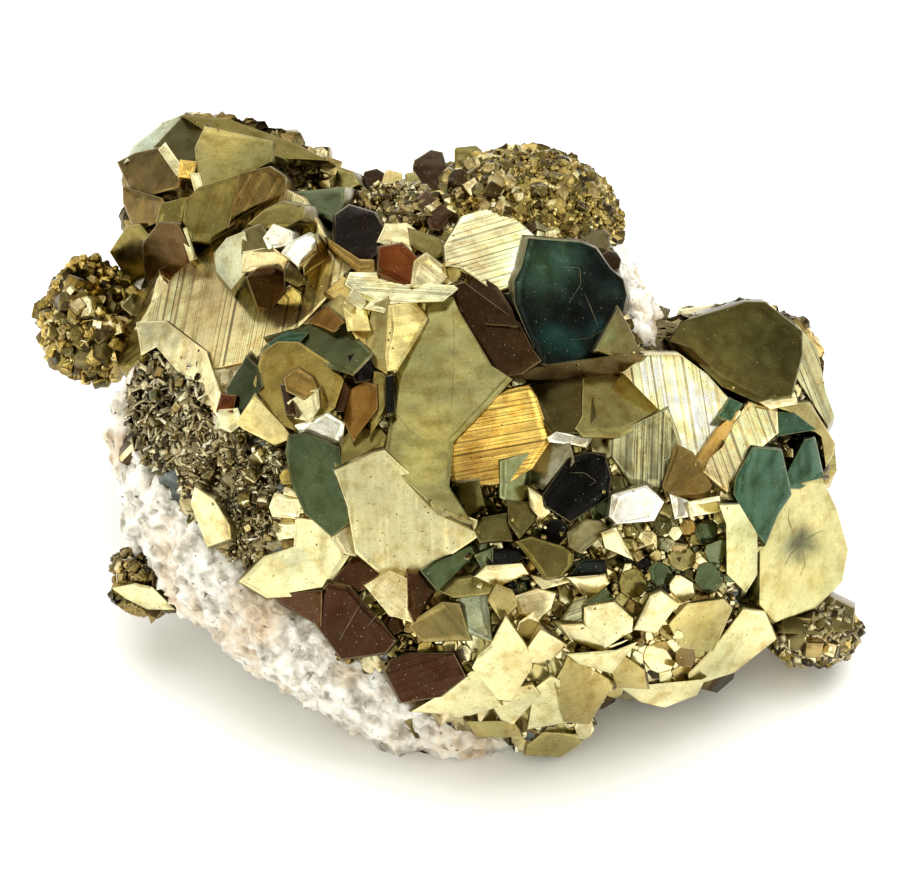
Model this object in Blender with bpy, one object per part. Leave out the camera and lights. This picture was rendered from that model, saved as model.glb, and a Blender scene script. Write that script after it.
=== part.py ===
"""A hand-sized cluster of pyrite crystals on a piece of white quartz, as solids in metres, +Z up.

Outlines are read in millimetres across and up the view of the specimen's best side, which looks
along +Y and down by SIGHT_ELEVATION. Depth is in millimetres towards the viewer.
"""

import math
import random

import bmesh
import bpy
import numpy as np
from mathutils import Matrix, Vector

MM = 0.001
SIGHT_ELEVATION = math.radians(40)
VIEW_DISTANCE = 208.3
HEIGHT_OF_VIEW_CENTRE = 20.4
ORIGIN_ACROSS = -0.3
ORIGIN_BACK = 8.6
PYRITE_CLEARANCE = 0.5
QUARTZ_CENTRE = (-3.0, -3.0)
QUARTZ_THICKNESS = 15.5
PYRITE_CENTRE = (2.0, 0.0)
PYRITE_THICKNESS = 9.0
CUTTER_REACH = 2.0
GAP = 0.32
BLOCK_DEPTH = 3.6
BLOCK_FLARE = 0.3
SLOPE_KEPT = 0.85
STEEPEST = 1.05
SETTLED = 0.4
TRIANGLES_KEPT = 0.6
LUMP_HEIGHT = 0.5
DRUSE_SEED = 7
GOLDEN_ANGLE = 2.39996
GOLDEN_SHARE = 0.618
RIM_CRYSTALS = 44
RIM_SIDES = 21
RIM_HEIGHT = 6.0
MASS_SHARE = 0.96
DEEPEST_MASS = 8.0
BRASS = (0.62, 0.53, 0.28)
PALE_BRASS = (0.72, 0.64, 0.40)
MILKY_QUARTZ = (0.83, 0.81, 0.78)


# Swells: the rounded masses that the crystals stand on
# centre across, centre up, half width, half height, depth of the rim, lean back per mm up, bulge
BODY = (2.5, -1.0, 31.5, 25.5, -8.0, 0.28, 19.0)
BACK_GROUP = (-19.0, 20.0, 10.0, 9.0, -17.5, 0.2, 7.0)
KNOB = (-30.0, 10.3, 4.6, 5.6, -17.0, 0.2, 6.0)
DOME = (6.0, 18.0, 8.6, 7.0, -9.5, 0.3, 8.0)
ROUND_CRYSTAL = (-14.9, 15.7, 4.8, 4.6, -5.6, 0.2, 6.0)
RIGHT_CRYSTAL = (24.5, 7.2, 7.4, 5.2, -5.0, 0.2, 6.5)
NODULE = (30.0, -15.7, 4.2, 2.9, -5.5, 0.0, 4.0)
CORNER = (-25.0, -11.8, 3.6, 3.0, -6.0, 0.2, 4.5)

# Rounded masses under groups of crystals, and how far short of the swell each stops
MASSES = [(BACK_GROUP, 2.2), (KNOB, 0.6), (DOME, 0.3), (ROUND_CRYSTAL, 1.2), (RIGHT_CRYSTAL, 3.4),
          (NODULE, 0.6)]

# Crystal faces: swell, faces right, faces up, stands out, outline
FACES = [
    # great striated face and the pale edge under it
    (BODY, 0.05, 0.15, 0.6, [(-25.9, 9.8), (-22.6, 14.1), (-17.8, 17.9), (-13.8, 20.9), (-12.4, 20.2),
     (-10.2, 16.4), (-8.5, 14.7), (-10.1, 12.7), (-12.6, 10.2), (-16.5, 7.3), (-19.4, 6.6), (-22, 9.3)]),
    (BODY, 0.1, -0.35, 0.9, [(-25.9, 9.9), (-23.5, 9.9), (-20.6, 7.5), (-19.4, 4.5), (-19.2, 2.2),
     (-20.2, 3.2), (-21.6, 6.5), (-23.5, 8.3), (-25.4, 7.3)]),
    # round crystal that stands on the striated face
    (ROUND_CRYSTAL, -0.3, 0.1, 0.4, [(-19.3, 15.8), (-18.5, 16.8), (-17.3, 17.4), (-17, 16), (-17.3, 14.6),
     (-18.2, 13.2), (-19.2, 14.6)]),
    (ROUND_CRYSTAL, 0.1, 0.3, 0.5, [(-15.2, 17.2), (-14.6, 18), (-13.6, 17.6), (-13.4, 16.8), (-14.9, 16.5)]),
    (ROUND_CRYSTAL, 0.3, 0, 0.5, [(-13.7, 16), (-13.2, 16.6), (-12.2, 17.1), (-11.5, 16.9), (-11.4, 16.1),
     (-12.6, 15.1)]),
    (ROUND_CRYSTAL, -0.1, -0.3, 0.6, [(-16.6, 13.8), (-15.9, 14.3), (-14.8, 14.5), (-14.1, 14.2),
     (-14.1, 12.9), (-15, 11.5), (-15.9, 11.7)]),
    (ROUND_CRYSTAL, 0.1, -0.2, 0.4, [(-14, 14.7), (-13.4, 14.8), (-12.4, 13.9), (-12.8, 13.4), (-14, 14)]),
    (ROUND_CRYSTAL, 0.1, -0.5, 0.5, [(-14.2, 12.3), (-13.4, 12.9), (-12.6, 12.4), (-13, 11.6), (-14, 11.3)]),
    (ROUND_CRYSTAL, 0, 0.4, 0.3, [(-16.5, 18.4), (-15.1, 19.4), (-14, 19.9), (-12.4, 19.7), (-12.5, 18.9),
     (-13.8, 18.4), (-15, 18.2)]),
    (ROUND_CRYSTAL, 0.4, 0, 0.2, [(-12, 15.1), (-11.3, 17), (-10.7, 16.3), (-10.4, 15.6), (-12, 14.4)]),
    (ROUND_CRYSTAL, -0.2, 0.3, 0.3, [(-17.1, 16.2), (-17, 17.6), (-15.9, 18), (-15.3, 17.1), (-15, 16.3)]),
    (ROUND_CRYSTAL, -0.2, -0.1, 0.5, [(-17, 14.5), (-16.9, 15.9), (-15, 16.1), (-13.9, 15.4), (-14.2, 14.7)]),
    # group of crystals at the back on the left
    (BACK_GROUP, 0.1, 0.4, 0.6, [(-20.9, 24.6), (-20.2, 26.2), (-15.1, 25.1), (-15.2, 23.6), (-18.3, 22.2),
     (-20.7, 21)]),
    (BACK_GROUP, -0.1, 0.2, 0.8, [(-24.3, 24.8), (-22, 27.3), (-20.2, 26.3), (-21, 24.4), (-21.3, 22.7),
     (-22.2, 22.9)]),
    (BACK_GROUP, -0.3, 0.6, 0.6, [(-26.9, 23.6), (-26, 25), (-24, 26.6), (-22.2, 27.4), (-24.4, 24.9),
     (-26, 24.1)]),
    (BACK_GROUP, 0.1, 0.7, 0.2, [(-22, 27.3), (-18, 26.8), (-13, 25), (-10.5, 23.7), (-14.2, 24), (-20, 26)]),
    (BACK_GROUP, -0.3, -0.1, 1.0, [(-27.4, 23.4), (-26, 24), (-23.9, 24.5), (-22.6, 22.9), (-22.9, 21.6),
     (-24.8, 21.1), (-26.4, 21.4)]),
    (BACK_GROUP, 0.1, -0.1, 1.2, [(-21.9, 18.5), (-21.7, 20.2), (-20.7, 21.1), (-17.3, 22.4), (-17, 20.3),
     (-18.2, 18.3), (-20, 17.2), (-21.3, 17.2)]),
    (BACK_GROUP, 0.4, -0.1, 0.8, [(-17.3, 22.3), (-15.2, 22.8), (-14, 22.1), (-14, 21), (-17, 19.4),
     (-18.2, 18.5)]),
    (BACK_GROUP, -0.4, -0.2, 0.7, [(-27, 21.2), (-24.3, 20.3), (-23.8, 19.5), (-24, 18.9), (-26.1, 18),
     (-26.9, 20)]),
    (BACK_GROUP, 0.2, -0.1, 0.7, [(-23.8, 19.8), (-21.9, 20.4), (-22.6, 18.3), (-24.2, 18.6)]),
    (BACK_GROUP, -0.1, -0.4, 1.2, [(-25.3, 16.6), (-24.2, 18.1), (-22.8, 18.1), (-21.4, 15.2), (-23, 13),
     (-24.8, 13.2), (-25.2, 15)]),
    (BACK_GROUP, -0.5, -0.2, 0.7, [(-28, 16), (-26.8, 17.9), (-26, 18), (-25.2, 17), (-25.2, 14.5),
     (-26.4, 13.8), (-27.2, 14.8)]),
    (DOME, -0.3, 0.3, 0.2, [(-13.3, 20.9), (-12.3, 22.3), (-10.8, 23.3), (-8.5, 22.6), (-7.9, 21.7),
     (-9.2, 21.1)]),
    (BODY, 0.2, 0.3, -0.2, [(-13.2, 20.9), (-8.3, 21.3), (-9.2, 20.1), (-9.9, 18.8), (-12.2, 20)]),
    # crystals along the top, left of the striated wedge
    (BODY, -0.1, -0.2, 0.9, [(-9.3, 18.9), (-8.3, 19.6), (-6.5, 19), (-5.9, 18), (-5.9, 16.5), (-7, 15.5),
     (-8, 15.6), (-9.3, 16.6)]),
    (BODY, -0.3, -0.5, 0.5, [(-10, 17), (-7.9, 15.5), (-6.7, 15.4), (-6.6, 14.6), (-7.8, 14.6),
     (-9.7, 16.2)]),
    (BODY, 0.1, -0.2, 1.3, [(-5.6, 16.2), (-4, 16.4), (-2.8, 15.2), (-2.7, 14.2), (-3.5, 13.3),
     (-5.7, 14.4)]),
    (BODY, 0, 0.5, 0.8, [(-5.7, 16.9), (-5.1, 18.1), (-3.7, 18.1), (-3.2, 17.7), (-2.9, 16.6), (-3.3, 16),
     (-4.2, 16.5)]),
    (BODY, 0.5, 0.2, 0.7, [(-3.2, 17.8), (-1.2, 17), (-0.7, 16), (-1.5, 15.7), (-2.9, 16.6)]),
    (BODY, 0.4, -0.3, 0.9, [(-2.7, 15), (-1.9, 15.6), (-0.7, 14.6), (-0.5, 14), (-1.2, 13.3), (-3, 13.3)]),
    (BODY, 0.3, -0.1, 0.9, [(-2.5, 20.2), (-1.9, 20.8), (-0.2, 19.3), (-1, 18.1), (-1.6, 18.3)]),
    # striated wedge, and the great dark crystal beside it
    (BODY, 0.1, 0.15, 1.0, [(0, 15), (-0.1, 16.5), (1.3, 18.7), (3.9, 19.6), (6, 17.9), (6.9, 17.1),
     (5.7, 14.9), (5.5, 13.6), (3.7, 13), (1.4, 14.8)]),
    (BODY, 0.25, -0.25, 3.0, [(6.7, 16.9), (10.8, 16.5), (12, 16), (13.1, 14.4), (14.1, 13.6), (14.4, 12.4),
     (14.1, 10.9), (12.5, 7.9), (11.4, 7.4), (7.8, 6.8), (6.4, 10.1), (5.7, 11.9), (5.65, 13.5),
     (6.2, 14.6)]),
    (BODY, 0.9, -0.4, 2.0, [(12.5, 8), (14.1, 11), (14.8, 9.2), (15.6, 7.8), (14.2, 7.4)]),
    (BODY, 0.1, -1.1, 1.6, [(5, 5.6), (6.4, 6.3), (11, 6.7), (15, 7.6), (16, 7.3), (14.9, 6), (10.5, 5.7),
     (7.5, 5.4)]),
    (BODY, -0.7, 0.3, 1.4, [(1.4, 14.6), (3.8, 12.8), (4.9, 11.3), (5.4, 10), (3, 10.3), (2, 12)]),
    (BODY, -0.6, -0.2, 1.5, [(0.1, 12.8), (1.3, 13.2), (2.8, 10.2), (5.5, 9.9), (6.4, 8.2), (7.3, 7.1),
     (5.8, 6.1), (4.3, 5.8), (3.1, 6.2), (1.8, 9)]),
    (BODY, -0.8, 0, 2.0, [(4.3, 12.3), (5.6, 12.2), (6.2, 10.9), (7.8, 6.9), (7, 7.2), (5.6, 9.7)]),
    # ledge, broken gold corner and the cones under it
    (BODY, 0, 0.5, 0.9, [(-8.4, 13.3), (-8, 14.2), (-5, 14), (-2.3, 13), (0.7, 13.2), (-0.9, 12), (-5, 12),
     (-7.8, 12.9)]),
    (BODY, -0.2, 0.1, 0.7, [(-10, 12.7), (-8.4, 14), (-6.6, 12.2), (-5.2, 12), (-5, 11), (-7, 8),
     (-9.5, 10.1), (-11.8, 10.1)]),
    (BODY, -0.3, 0, 1.0, [(-6.9, 8.3), (-6.3, 11.3), (-5.2, 11.9), (-5, 9.5), (-5.3, 6.2), (-6.2, 6.7)]),
    (BODY, 0.4, 0, 1.0, [(-5.2, 7.5), (-5, 11.2), (-3, 11.5), (-2, 10.2), (-4.3, 6.6), (-5.1, 6.4)]),
    # crystals left of the middle
    (BODY, -0.1, 0.5, 1.0, [(-15, 8.9), (-10.8, 9.8), (-8.8, 9.6), (-6.9, 7.6), (-8, 7.1), (-8.4, 6),
     (-9.9, 6.6), (-12.7, 8.3)]),
    (BODY, 0.5, 0.1, 1.1, [(-8.3, 7.2), (-7, 7.6), (-5.8, 6.1), (-6.6, 5.7), (-7.7, 5.4)]),
    (BODY, 0, 0.05, 1.6, [(-16, 5), (-15.4, 7.4), (-14.2, 8.2), (-12.6, 8.1), (-9.8, 6.3), (-9.2, 5.3),
     (-9.9, 3.2), (-11.4, 2.1), (-13, 1.6), (-14.4, 2)]),
    (BODY, 0.1, 0.5, 3.4, [(-13.5, 5.4), (-12.6, 6), (-11.8, 5.4), (-11.3, 4.6), (-12.3, 4.1), (-13.3, 4.6)]),
    (BODY, 0.1, -0.5, 3.2, [(-13.2, 3.4), (-12.3, 3.9), (-11.2, 4.3), (-11.2, 3.1), (-11.7, 2.2),
     (-12.7, 2.4)]),
    (BODY, -0.5, 0, 3.0, [(-14, 4.6), (-13.4, 4.6), (-12.9, 2.6), (-13.6, 2.8)]),
    (BODY, -0.5, 0.1, 1.2, [(-18.3, 4.6), (-17.5, 6), (-17, 7), (-16.2, 6.1), (-16, 4.8), (-17.6, 2),
     (-18.2, 2.6)]),
    (BODY, 0.1, -0.5, 1.3, [(-12.6, 1.5), (-10.3, 2.3), (-9.1, 1.6), (-9.2, -0.4), (-12, 0.7)]),
    (BODY, 0.4, -0.1, 1.2, [(-9.5, 3), (-8.9, 5), (-8.3, 4.2), (-8.7, 3)]),
    (BODY, -0.2, -0.6, 1.5, [(-17.5, 1.7), (-16.2, 3.7), (-14.2, 1.5), (-13.5, 0.6), (-14.8, 0.2),
     (-16.9, 1.3)]),
    (BODY, -0.2, -0.1, 1.5, [(-13.3, 0.4), (-12, 0.6), (-9.4, -0.6), (-9.2, -3.5), (-8.4, -5), (-8.5, -6.2),
     (-9.9, -7.4), (-12, -5.4), (-12.9, -3.2), (-13.4, -1)]),
    (BODY, 0.1, 0.4, 1.4, [(-9.1, -2.3), (-9.4, -1), (-8, 1.3), (-6, 1), (-5.4, 0.4), (-5.9, -0.5),
     (-8.5, -2.1)]),
    (BODY, -0.4, 0.2, 1.3, [(-8.6, 2.2), (-8.2, 4.2), (-7.3, 4.9), (-6.3, 4.6), (-6.4, 3), (-8, 0.6)]),
    (BODY, 0.3, 0.1, 1.2, [(-6.6, 1), (-5.5, 3), (-5.4, 5.5), (-6.3, 5.7), (-6.3, 3.4)]),
    # middle of the face
    (BODY, -0.15, 0.3, 1.6, [(-1.9, 11.3), (0, 12.4), (0.8, 10.6), (3.2, 6.3), (4.9, 5.3), (2.6, 3),
     (0.2, 0.6), (-0.1, -3.2), (1.7, -6.1), (-1.1, -5), (-4.2, -2.1), (-5.2, -0.8), (-4.6, 2.8), (-4, 6.9),
     (-2.1, 9.8)]),
    (BODY, 0, 0.1, 1.6, [(0.3, 0.4), (2.6, 3.1), (4.8, 4.2), (6.4, 4.6), (7, 3.6), (8.1, 0.4), (6.6, -1.8),
     (4.9, -2.8), (0.5, -3.3), (-0.1, -1)]),
    (BODY, 0.5, -0.2, 1.3, [(4.4, -1.7), (6.6, -1), (6.4, -2.9), (6.3, -4.2), (5.4, -4.7), (4.4, -4.2)]),
    (BODY, -0.1, -0.7, 1.3, [(0.5, -3.4), (2.2, -3.3), (2.7, -5.2), (1.6, -5.6), (0.9, -4.5)]),
    (BODY, 0.25, 0.45, 1.4, [(11.2, 5.2), (14.8, 5.7), (17.6, 2.9), (17.2, 2.3), (14, 0.9), (11.4, 0.8),
     (10.8, 1.5), (11.9, 3.3)]),
    (BODY, -0.2, 0.5, 1.3, [(6.6, 4.9), (10, 5.6), (11.3, 5.2), (11.9, 2.4), (11, 1.2), (8.6, 1.2),
     (7, 3.4)]),
    (BODY, 0, -0.3, 2.2, [(8.5, 0.5), (9.2, 0.85), (11.5, 0.5), (12, 0.15), (11, -0.1), (8.6, 0.2)]),
    (BODY, -0.7, 0, 1.6, [(7.2, -1), (8, 0), (9.8, -0.3), (10, -1.5), (9.2, -2.6), (7.9, -3.6), (7, -2.8)]),
    (BODY, 0.1, -0.1, 2.0, [(10, -1.5), (11.4, -1), (12.7, -1.2), (13.1, -2.9), (12.9, -4.3), (10.1, -6.2),
     (8.2, -5), (8, -4.2)]),
    (BODY, -0.3, -0.7, 1.3, [(6.7, -4), (7.9, -4.9), (8, -5.6), (7.3, -6.4), (6.9, -5.8)]),
    # striated faces right of the middle
    (BODY, -0.15, -0.3, 1.5, [(13.5, 0.2), (15.2, 1.2), (18, 2.6), (18.9, 0), (18.9, -2.4), (17.4, -3.4),
     (15.2, -3), (13.6, -0.8)]),
    (BODY, 0.1, 0.1, 1.4, [(14.7, 5.8), (16.5, 7.2), (19.2, 7.1), (21.2, 5.5), (23.9, 2.7), (22.4, 0.9),
     (21.3, 0), (20.2, -0.95), (18.9, -0.1), (18, 2.7), (16.5, 4)]),
    (BODY, 0.8, -0.5, 1.2, [(23.9, 2.6), (22.3, -0.4), (20.8, -2.1), (20.6, -1.3), (22.1, 0.9)]),
    (BODY, -0.1, 0.2, 1.5, [(24.2, 2.3), (24.9, 3.1), (27, 2.5), (27, 0.8), (25.5, -0.3), (24, -2.8),
     (23.2, -3.7), (21.4, -2.1), (22.3, -0.4)]),
    (BODY, 0.2, -0.1, 1.6, [(25.3, -0.6), (27.5, -0.8), (28.1, -4.2), (27.1, -5.6), (26.3, -8), (25.2, -6.6),
     (24, -4.2), (24.1, -3)]),
    (BODY, 0.3, 0, 1.5, [(29.5, 0), (30.3, 0.2), (30.8, -2.5), (29.2, -3.4), (28.4, -3.4), (28.2, -2.6)]),
    (BODY, 0.2, 0.5, 1.2, [(26.8, 2.6), (28.5, 2.3), (30.2, 1.3), (27.5, 0.9)]),
    (BODY, 0.1, -0.3, 1.3, [(18.9, -0.3), (20.2, -1.1), (21.7, -3.2), (20.9, -4.3), (18.3, -4.2),
     (18, -3.4)]),
    # dark crystal at the upper right
    (RIGHT_CRYSTAL, -0.1, 0.35, 1.0, [(18.7, 8.7), (19.7, 10.1), (24.6, 11.5), (26.1, 11.5), (29, 9.3),
     (29, 7.5), (28.2, 4.3), (25.7, 3.7), (22.8, 5.1), (20.1, 7.6)]),
    (RIGHT_CRYSTAL, -0.3, -0.7, 0.5, [(18.6, 8.4), (20.3, 7.8), (23, 5.2), (26, 3.7), (24.4, 3.2),
     (21.5, 5.4), (19, 7.2)]),
    (RIGHT_CRYSTAL, 0.9, 0, 0.4, [(28.9, 9.8), (30.6, 7.5), (31.1, 4.6), (31.9, 2.6), (31.4, 1.8),
     (28.8, 6)]),
    (BODY, 0.2, -0.3, 2.0, [(26.2, 3.5), (28.4, 4.1), (28.6, 3.4), (27, 3.1)]),
    (BODY, 0.5, 0.1, 1.4, [(27, 3), (30, 3.1), (31.8, 0.2), (31.7, -0.6), (31.2, -1.6), (30.6, 0.8),
     (28.4, 2.5)]),
    # broad pale faces at the lower left
    (BODY, 0.05, -0.25, 1.7, [(-9.3, -2.4), (-6.2, -1.1), (-5.3, -0.9), (-2.9, -3.3), (-0.7, -5.4),
     (1.9, -6.3), (1.95, -7.7), (-1.6, -10), (-2.6, -10.7), (-5.4, -10.8), (-7.6, -8.9), (-8.2, -5.3)]),
    (BODY, 0.15, 0.1, 1.0, [(-15.2, -9.4), (-13, -8.9), (-12.9, -6.5), (-11, -6.6), (-8.6, -9.2),
     (-10.7, -12.3), (-15, -12.5), (-17.2, -11.3)]),
    (BODY, 0.5, 0.1, 1.1, [(-9.5, -7.9), (-8.6, -6.6), (-7.9, -7.8), (-8, -9), (-8.8, -8.8)]),
    (BODY, -0.2, -0.1, 1.6, [(-21.1, -3.9), (-19.7, -5), (-18.7, -6.6), (-18.5, -7.6), (-20.2, -8.2),
     (-21.3, -5.2)]),
    # dark crystals under them
    (BODY, -0.1, -0.15, 1.3, [(-10, -11.9), (-8.4, -12.2), (-4.8, -16.2), (-5.6, -17.2), (-9, -17.6),
     (-11, -14.8), (-10.7, -13)]),
    (BODY, 0, 0.5, 1.0, [(-10, -11.8), (-7.8, -9.7), (-6.5, -10), (-5, -10.9), (-7.5, -11.9)]),
    (BODY, -0.4, -0.3, 0.7, [(-14.6, -12.6), (-11, -12.4), (-11, -15), (-13.8, -13.4)]),
    (BODY, 0.1, 0, 1.4, [(-6.8, -11.9), (-5, -10.9), (-3.5, -11.5), (-3.3, -14.6), (-5, -13.9)]),
    (BODY, 0.5, -0.1, 1.3, [(-3.4, -11), (-2.3, -11.2), (-1.3, -12), (-2.9, -14.6), (-3.3, -13.5)]),
    (BODY, 0.2, 0.4, 1.3, [(-2.1, -10.5), (-0.9, -9.8), (1.6, -8.6), (2, -9.2), (-0.9, -11.9)]),
    # small crystals of the middle
    (BODY, 0, -0.2, 1.3, [(2.9, -6.4), (4.5, -6), (4.9, -7.9), (2.7, -8), (2.4, -7.2)]),
    (BODY, 0.4, 0, 1.3, [(5, -5), (6.5, -5.1), (7, -6), (5.8, -7.6), (5.2, -6.4)]),
    (BODY, 0, 0.4, 1.4, [(3.5, -9), (5.8, -8.7), (6.1, -9.3), (4.5, -10.2), (3.3, -9.8)]),
    (BODY, -0.4, 0, 1.2, [(2.3, -9.4), (3.4, -8.9), (3.3, -9.9), (2.9, -10.6)]),
    (BODY, 0, -0.6, 1.3, [(2.4, -11), (3.4, -10.3), (5.6, -10.1), (6.2, -10.8), (4, -11.6)]),
    (BODY, 0.1, 0.1, 1.5, [(5.8, -8.3), (7, -8), (10, -8.9), (9.9, -10), (9.2, -10.7), (8, -10.9)]),
    (BODY, 0, 0.3, 1.6, [(10.1, -7.4), (11, -6.5), (12.3, -6.6), (12.9, -7.2), (11, -8.8), (10.2, -8.3)]),
    (BODY, 0.2, 0.1, 1.4, [(10.3, -10.8), (11.3, -9.9), (12.7, -9.8), (12.8, -10.9)]),
    (BODY, 0, -0.6, 1.4, [(10.1, -11.2), (12.6, -11.1), (12.9, -11.6), (11.6, -12.8)]),
    (BODY, 0, 0.2, 1.2, [(7, -11), (9.5, -10.9), (10, -11.4), (8, -11.9)]),
    (BODY, -0.2, -0.1, 1.3, [(5.6, -12.8), (7.2, -12.4), (8.5, -12.6), (8.1, -13.6), (7.3, -14.3), (6, -14)]),
    (BODY, 0.2, -0.6, 1.2, [(6.9, -17), (7.6, -15.8), (9.4, -16.8), (7.9, -18.2), (6.9, -17.9)]),
    # bright crystal low on the right of the middle
    (BODY, 0.1, 0, 2.2, [(11.5, -13.8), (13.6, -13.5), (14.9, -14.6), (14.8, -15.5), (13, -16.6),
     (11.5, -15.2)]),
    (BODY, -0.6, 0.2, 1.7, [(9.5, -14.4), (10.3, -13.3), (11.2, -12.9), (11.4, -14.8), (9.6, -15.2)]),
    (BODY, 0.3, 0.6, 1.7, [(11.5, -13.2), (12.9, -12.2), (13.9, -13.5), (12.7, -13.4)]),
    (BODY, -0.2, -0.7, 1.6, [(9.5, -15.2), (10.5, -16.4), (12.5, -17.1), (14.5, -16.3), (13, -16.7),
     (11.3, -15.3)]),
    (BODY, 0.1, -0.6, 1.4, [(10.1, -17.5), (13.5, -17.3), (15.3, -16.6), (13.3, -18.8), (11, -18.2)]),
    # crystals of the lower middle
    (BODY, -0.3, 0.3, 1.4, [(0.5, -13.6), (0.9, -12.9), (2.9, -12.7), (3.3, -16.2), (0.9, -15.2)]),
    (BODY, -0.1, 0, 1.3, [(-2.5, -14.6), (-0.8, -13.5), (0.5, -13.5), (1.5, -16.2), (-2, -16.2),
     (-3.2, -15)]),
    (BODY, 0, 0.6, 1.3, [(-1, -12), (0.3, -11.2), (2.5, -11), (4.5, -12), (3, -12.4), (0.6, -12.6)]),
    (BODY, 0.4, 0, 1.3, [(3.5, -13), (4, -12), (5, -12.4), (5.4, -13.2), (4.4, -14.6)]),
    (BODY, 0.1, -0.1, 2.0, [(4.6, -14.7), (6.4, -17.4), (6.5, -18.6), (5, -21.1), (4, -20.9), (2.2, -18.6),
     (2.7, -17.7), (3.6, -17)]),
    (BODY, -0.2, 0.1, 1.4, [(-4.7, -18.2), (-3.5, -17.7), (0, -17.6), (1, -19.4), (-1, -20.8), (-3.9, -21.3),
     (-5.1, -19)]),
    (BODY, -0.2, -0.7, 1.2, [(-2.9, -22.2), (-0.5, -20.9), (1.6, -19.3), (2.2, -19.2), (4, -21.7),
     (1.5, -22.3)]),
    (BODY, -0.1, -0.1, 1.2, [(3.9, -21.8), (5.3, -20.7), (6.6, -20.3), (7.2, -21), (5.3, -23), (4.5, -22.7)]),
    (BODY, 0.1, -0.2, 1.3, [(7.3, -20.6), (8.4, -19.7), (9, -20), (8.9, -21.8), (9.6, -22.9), (6.7, -23.5)]),
    (BODY, 0.4, 0, 1.0, [(9.6, -18.9), (9.9, -18), (13.4, -19.9), (11.5, -23), (9.6, -22.8), (9, -20)]),
    (BODY, 0.1, -0.4, 1.0, [(6.8, -25.1), (8, -24.3), (10.1, -24.3), (10.6, -24.9), (9, -25.8),
     (6.6, -25.8)]),
    (BODY, -0.2, 0, 0.9, [(1.7, -23.2), (5, -23.2), (5.6, -24.3), (2.6, -24.3)]),
    # right-hand lump
    (BODY, 0, -0.2, 1.2, [(18.6, -15), (20, -13.6), (22.5, -13.2), (23.2, -13.9), (21.8, -17),
     (19.4, -16.7)]),
    (BODY, 0.2, -0.3, 1.3, [(20.2, -18.9), (22.5, -16.8), (24.3, -14.1), (26, -14.3), (26.9, -16.3),
     (23.6, -18.7), (20.1, -20)]),
    (BODY, -0.2, -0.3, 1.2, [(13.8, -19), (14.6, -18), (15.8, -18.9), (16.2, -20.2), (14.2, -20)]),
    (BODY, -0.1, -0.8, 0.8, [(14.5, -20.3), (20, -20.1), (21, -19.6), (20.2, -20.9), (18, -21.6),
     (16.3, -21.4)]),
    (BODY, 0.35, -0.1, 1.8, [(28.2, -3.9), (30.9, -3.2), (32, -5.7), (32.8, -8.8), (32.4, -11.2),
     (30.5, -13.3), (27.2, -14.5), (26, -13.1), (26.2, -8.8), (28, -5.1)]),
    (BODY, 0.3, -0.2, 1.5, [(22.6, -5.4), (24.1, -5.4), (25.3, -7.7), (25.4, -10.6), (24.6, -12),
     (23.2, -10.5), (23.2, -7)]),
    (BODY, 0.2, 0, 2.2, [(13.8, -4.4), (16.2, -3.75), (17.5, -4.9), (16.7, -6.2), (14.2, -6.4),
     (13.6, -5.9)]),
    (BODY, 0, -0.4, 1.7, [(12.9, -7.6), (13.8, -7.3), (15, -9.4), (13.2, -8.5)]),
    (BODY, 0.2, 0.2, 1.7, [(18.5, -4.4), (19.9, -5), (19.6, -5.8), (18.9, -5.9)]),
    (BODY, 0.2, -0.1, 1.6, [(20.2, -4.9), (22.2, -4.5), (22.3, -5.5), (20.3, -5.9)]),
    (BODY, 0.2, -0.3, 1.5, [(16.8, -13), (17.5, -12.6), (18.7, -13.4), (17.2, -15.4), (15.6, -15.2)]),
    (NODULE, 0.2, 0.2, 0.6, [(28, -14), (31.5, -13), (33.4, -13.8), (33.2, -15.4), (30, -15.6), (28, -15.6)]),
]

CORNER_FACES = [
    (CORNER, -0.2, 0.4, 0.3, [(-28.5, -10.6), (-27.9, -9.4), (-26.5, -8.8), (-24.9, -10.6), (-26.2, -11.6)]),
    (CORNER, 0, -0.3, 0.4, [(-28.2, -12), (-26.2, -11.6), (-24.8, -11.9), (-22.9, -13.8), (-25.2, -13.8),
     (-27, -12.9)]),
    (CORNER, 0.5, 0, 0.3, [(-24.9, -10.6), (-24, -10.5), (-21.9, -12.9), (-22.2, -14.3), (-23.6, -12.6),
     (-24.8, -11.9)]),
]

# Small crystals that stand close together: centre across, centre up, spread, size of a crystal, how many
DRUSES = [
    (DOME, 3.0, 22.4, 3.2, 2.2, 7),
    (DOME, 10.0, 19.6, 3.4, 2.3, 8),
    (DOME, 0.8, 21.4, 1.2, 1.9, 3),
    (BODY, -4.5, 20.4, 3.0, 2.0, 7),
    (KNOB, -30.2, 10.3, 3.3, 2.8, 9),
    (BODY, -23.6, 3.2, 3.0, 2.4, 7),
    (BODY, -17.5, -2.8, 3.4, 2.5, 8),
    (BODY, -16.0, -7.8, 2.0, 2.0, 4),
    (BODY, 16.6, -8.4, 2.2, 2.1, 5),
    (BODY, 19.8, -9.6, 2.6, 2.1, 5),
    (BODY, 15.4, -12.0, 2.2, 2.0, 4),
    (BODY, 20.6, -12.2, 2.0, 1.9, 3),
    (BODY, 9.2, -13.6, 1.4, 1.6, 2),
    (NODULE, 30.6, -15.6, 2.1, 2.2, 6),
    (RIGHT_CRYSTAL, 29.2, 0.2, 1.2, 1.5, 2),
    (BODY, 7.6, -6.0, 1.2, 1.5, 2),
]

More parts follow.
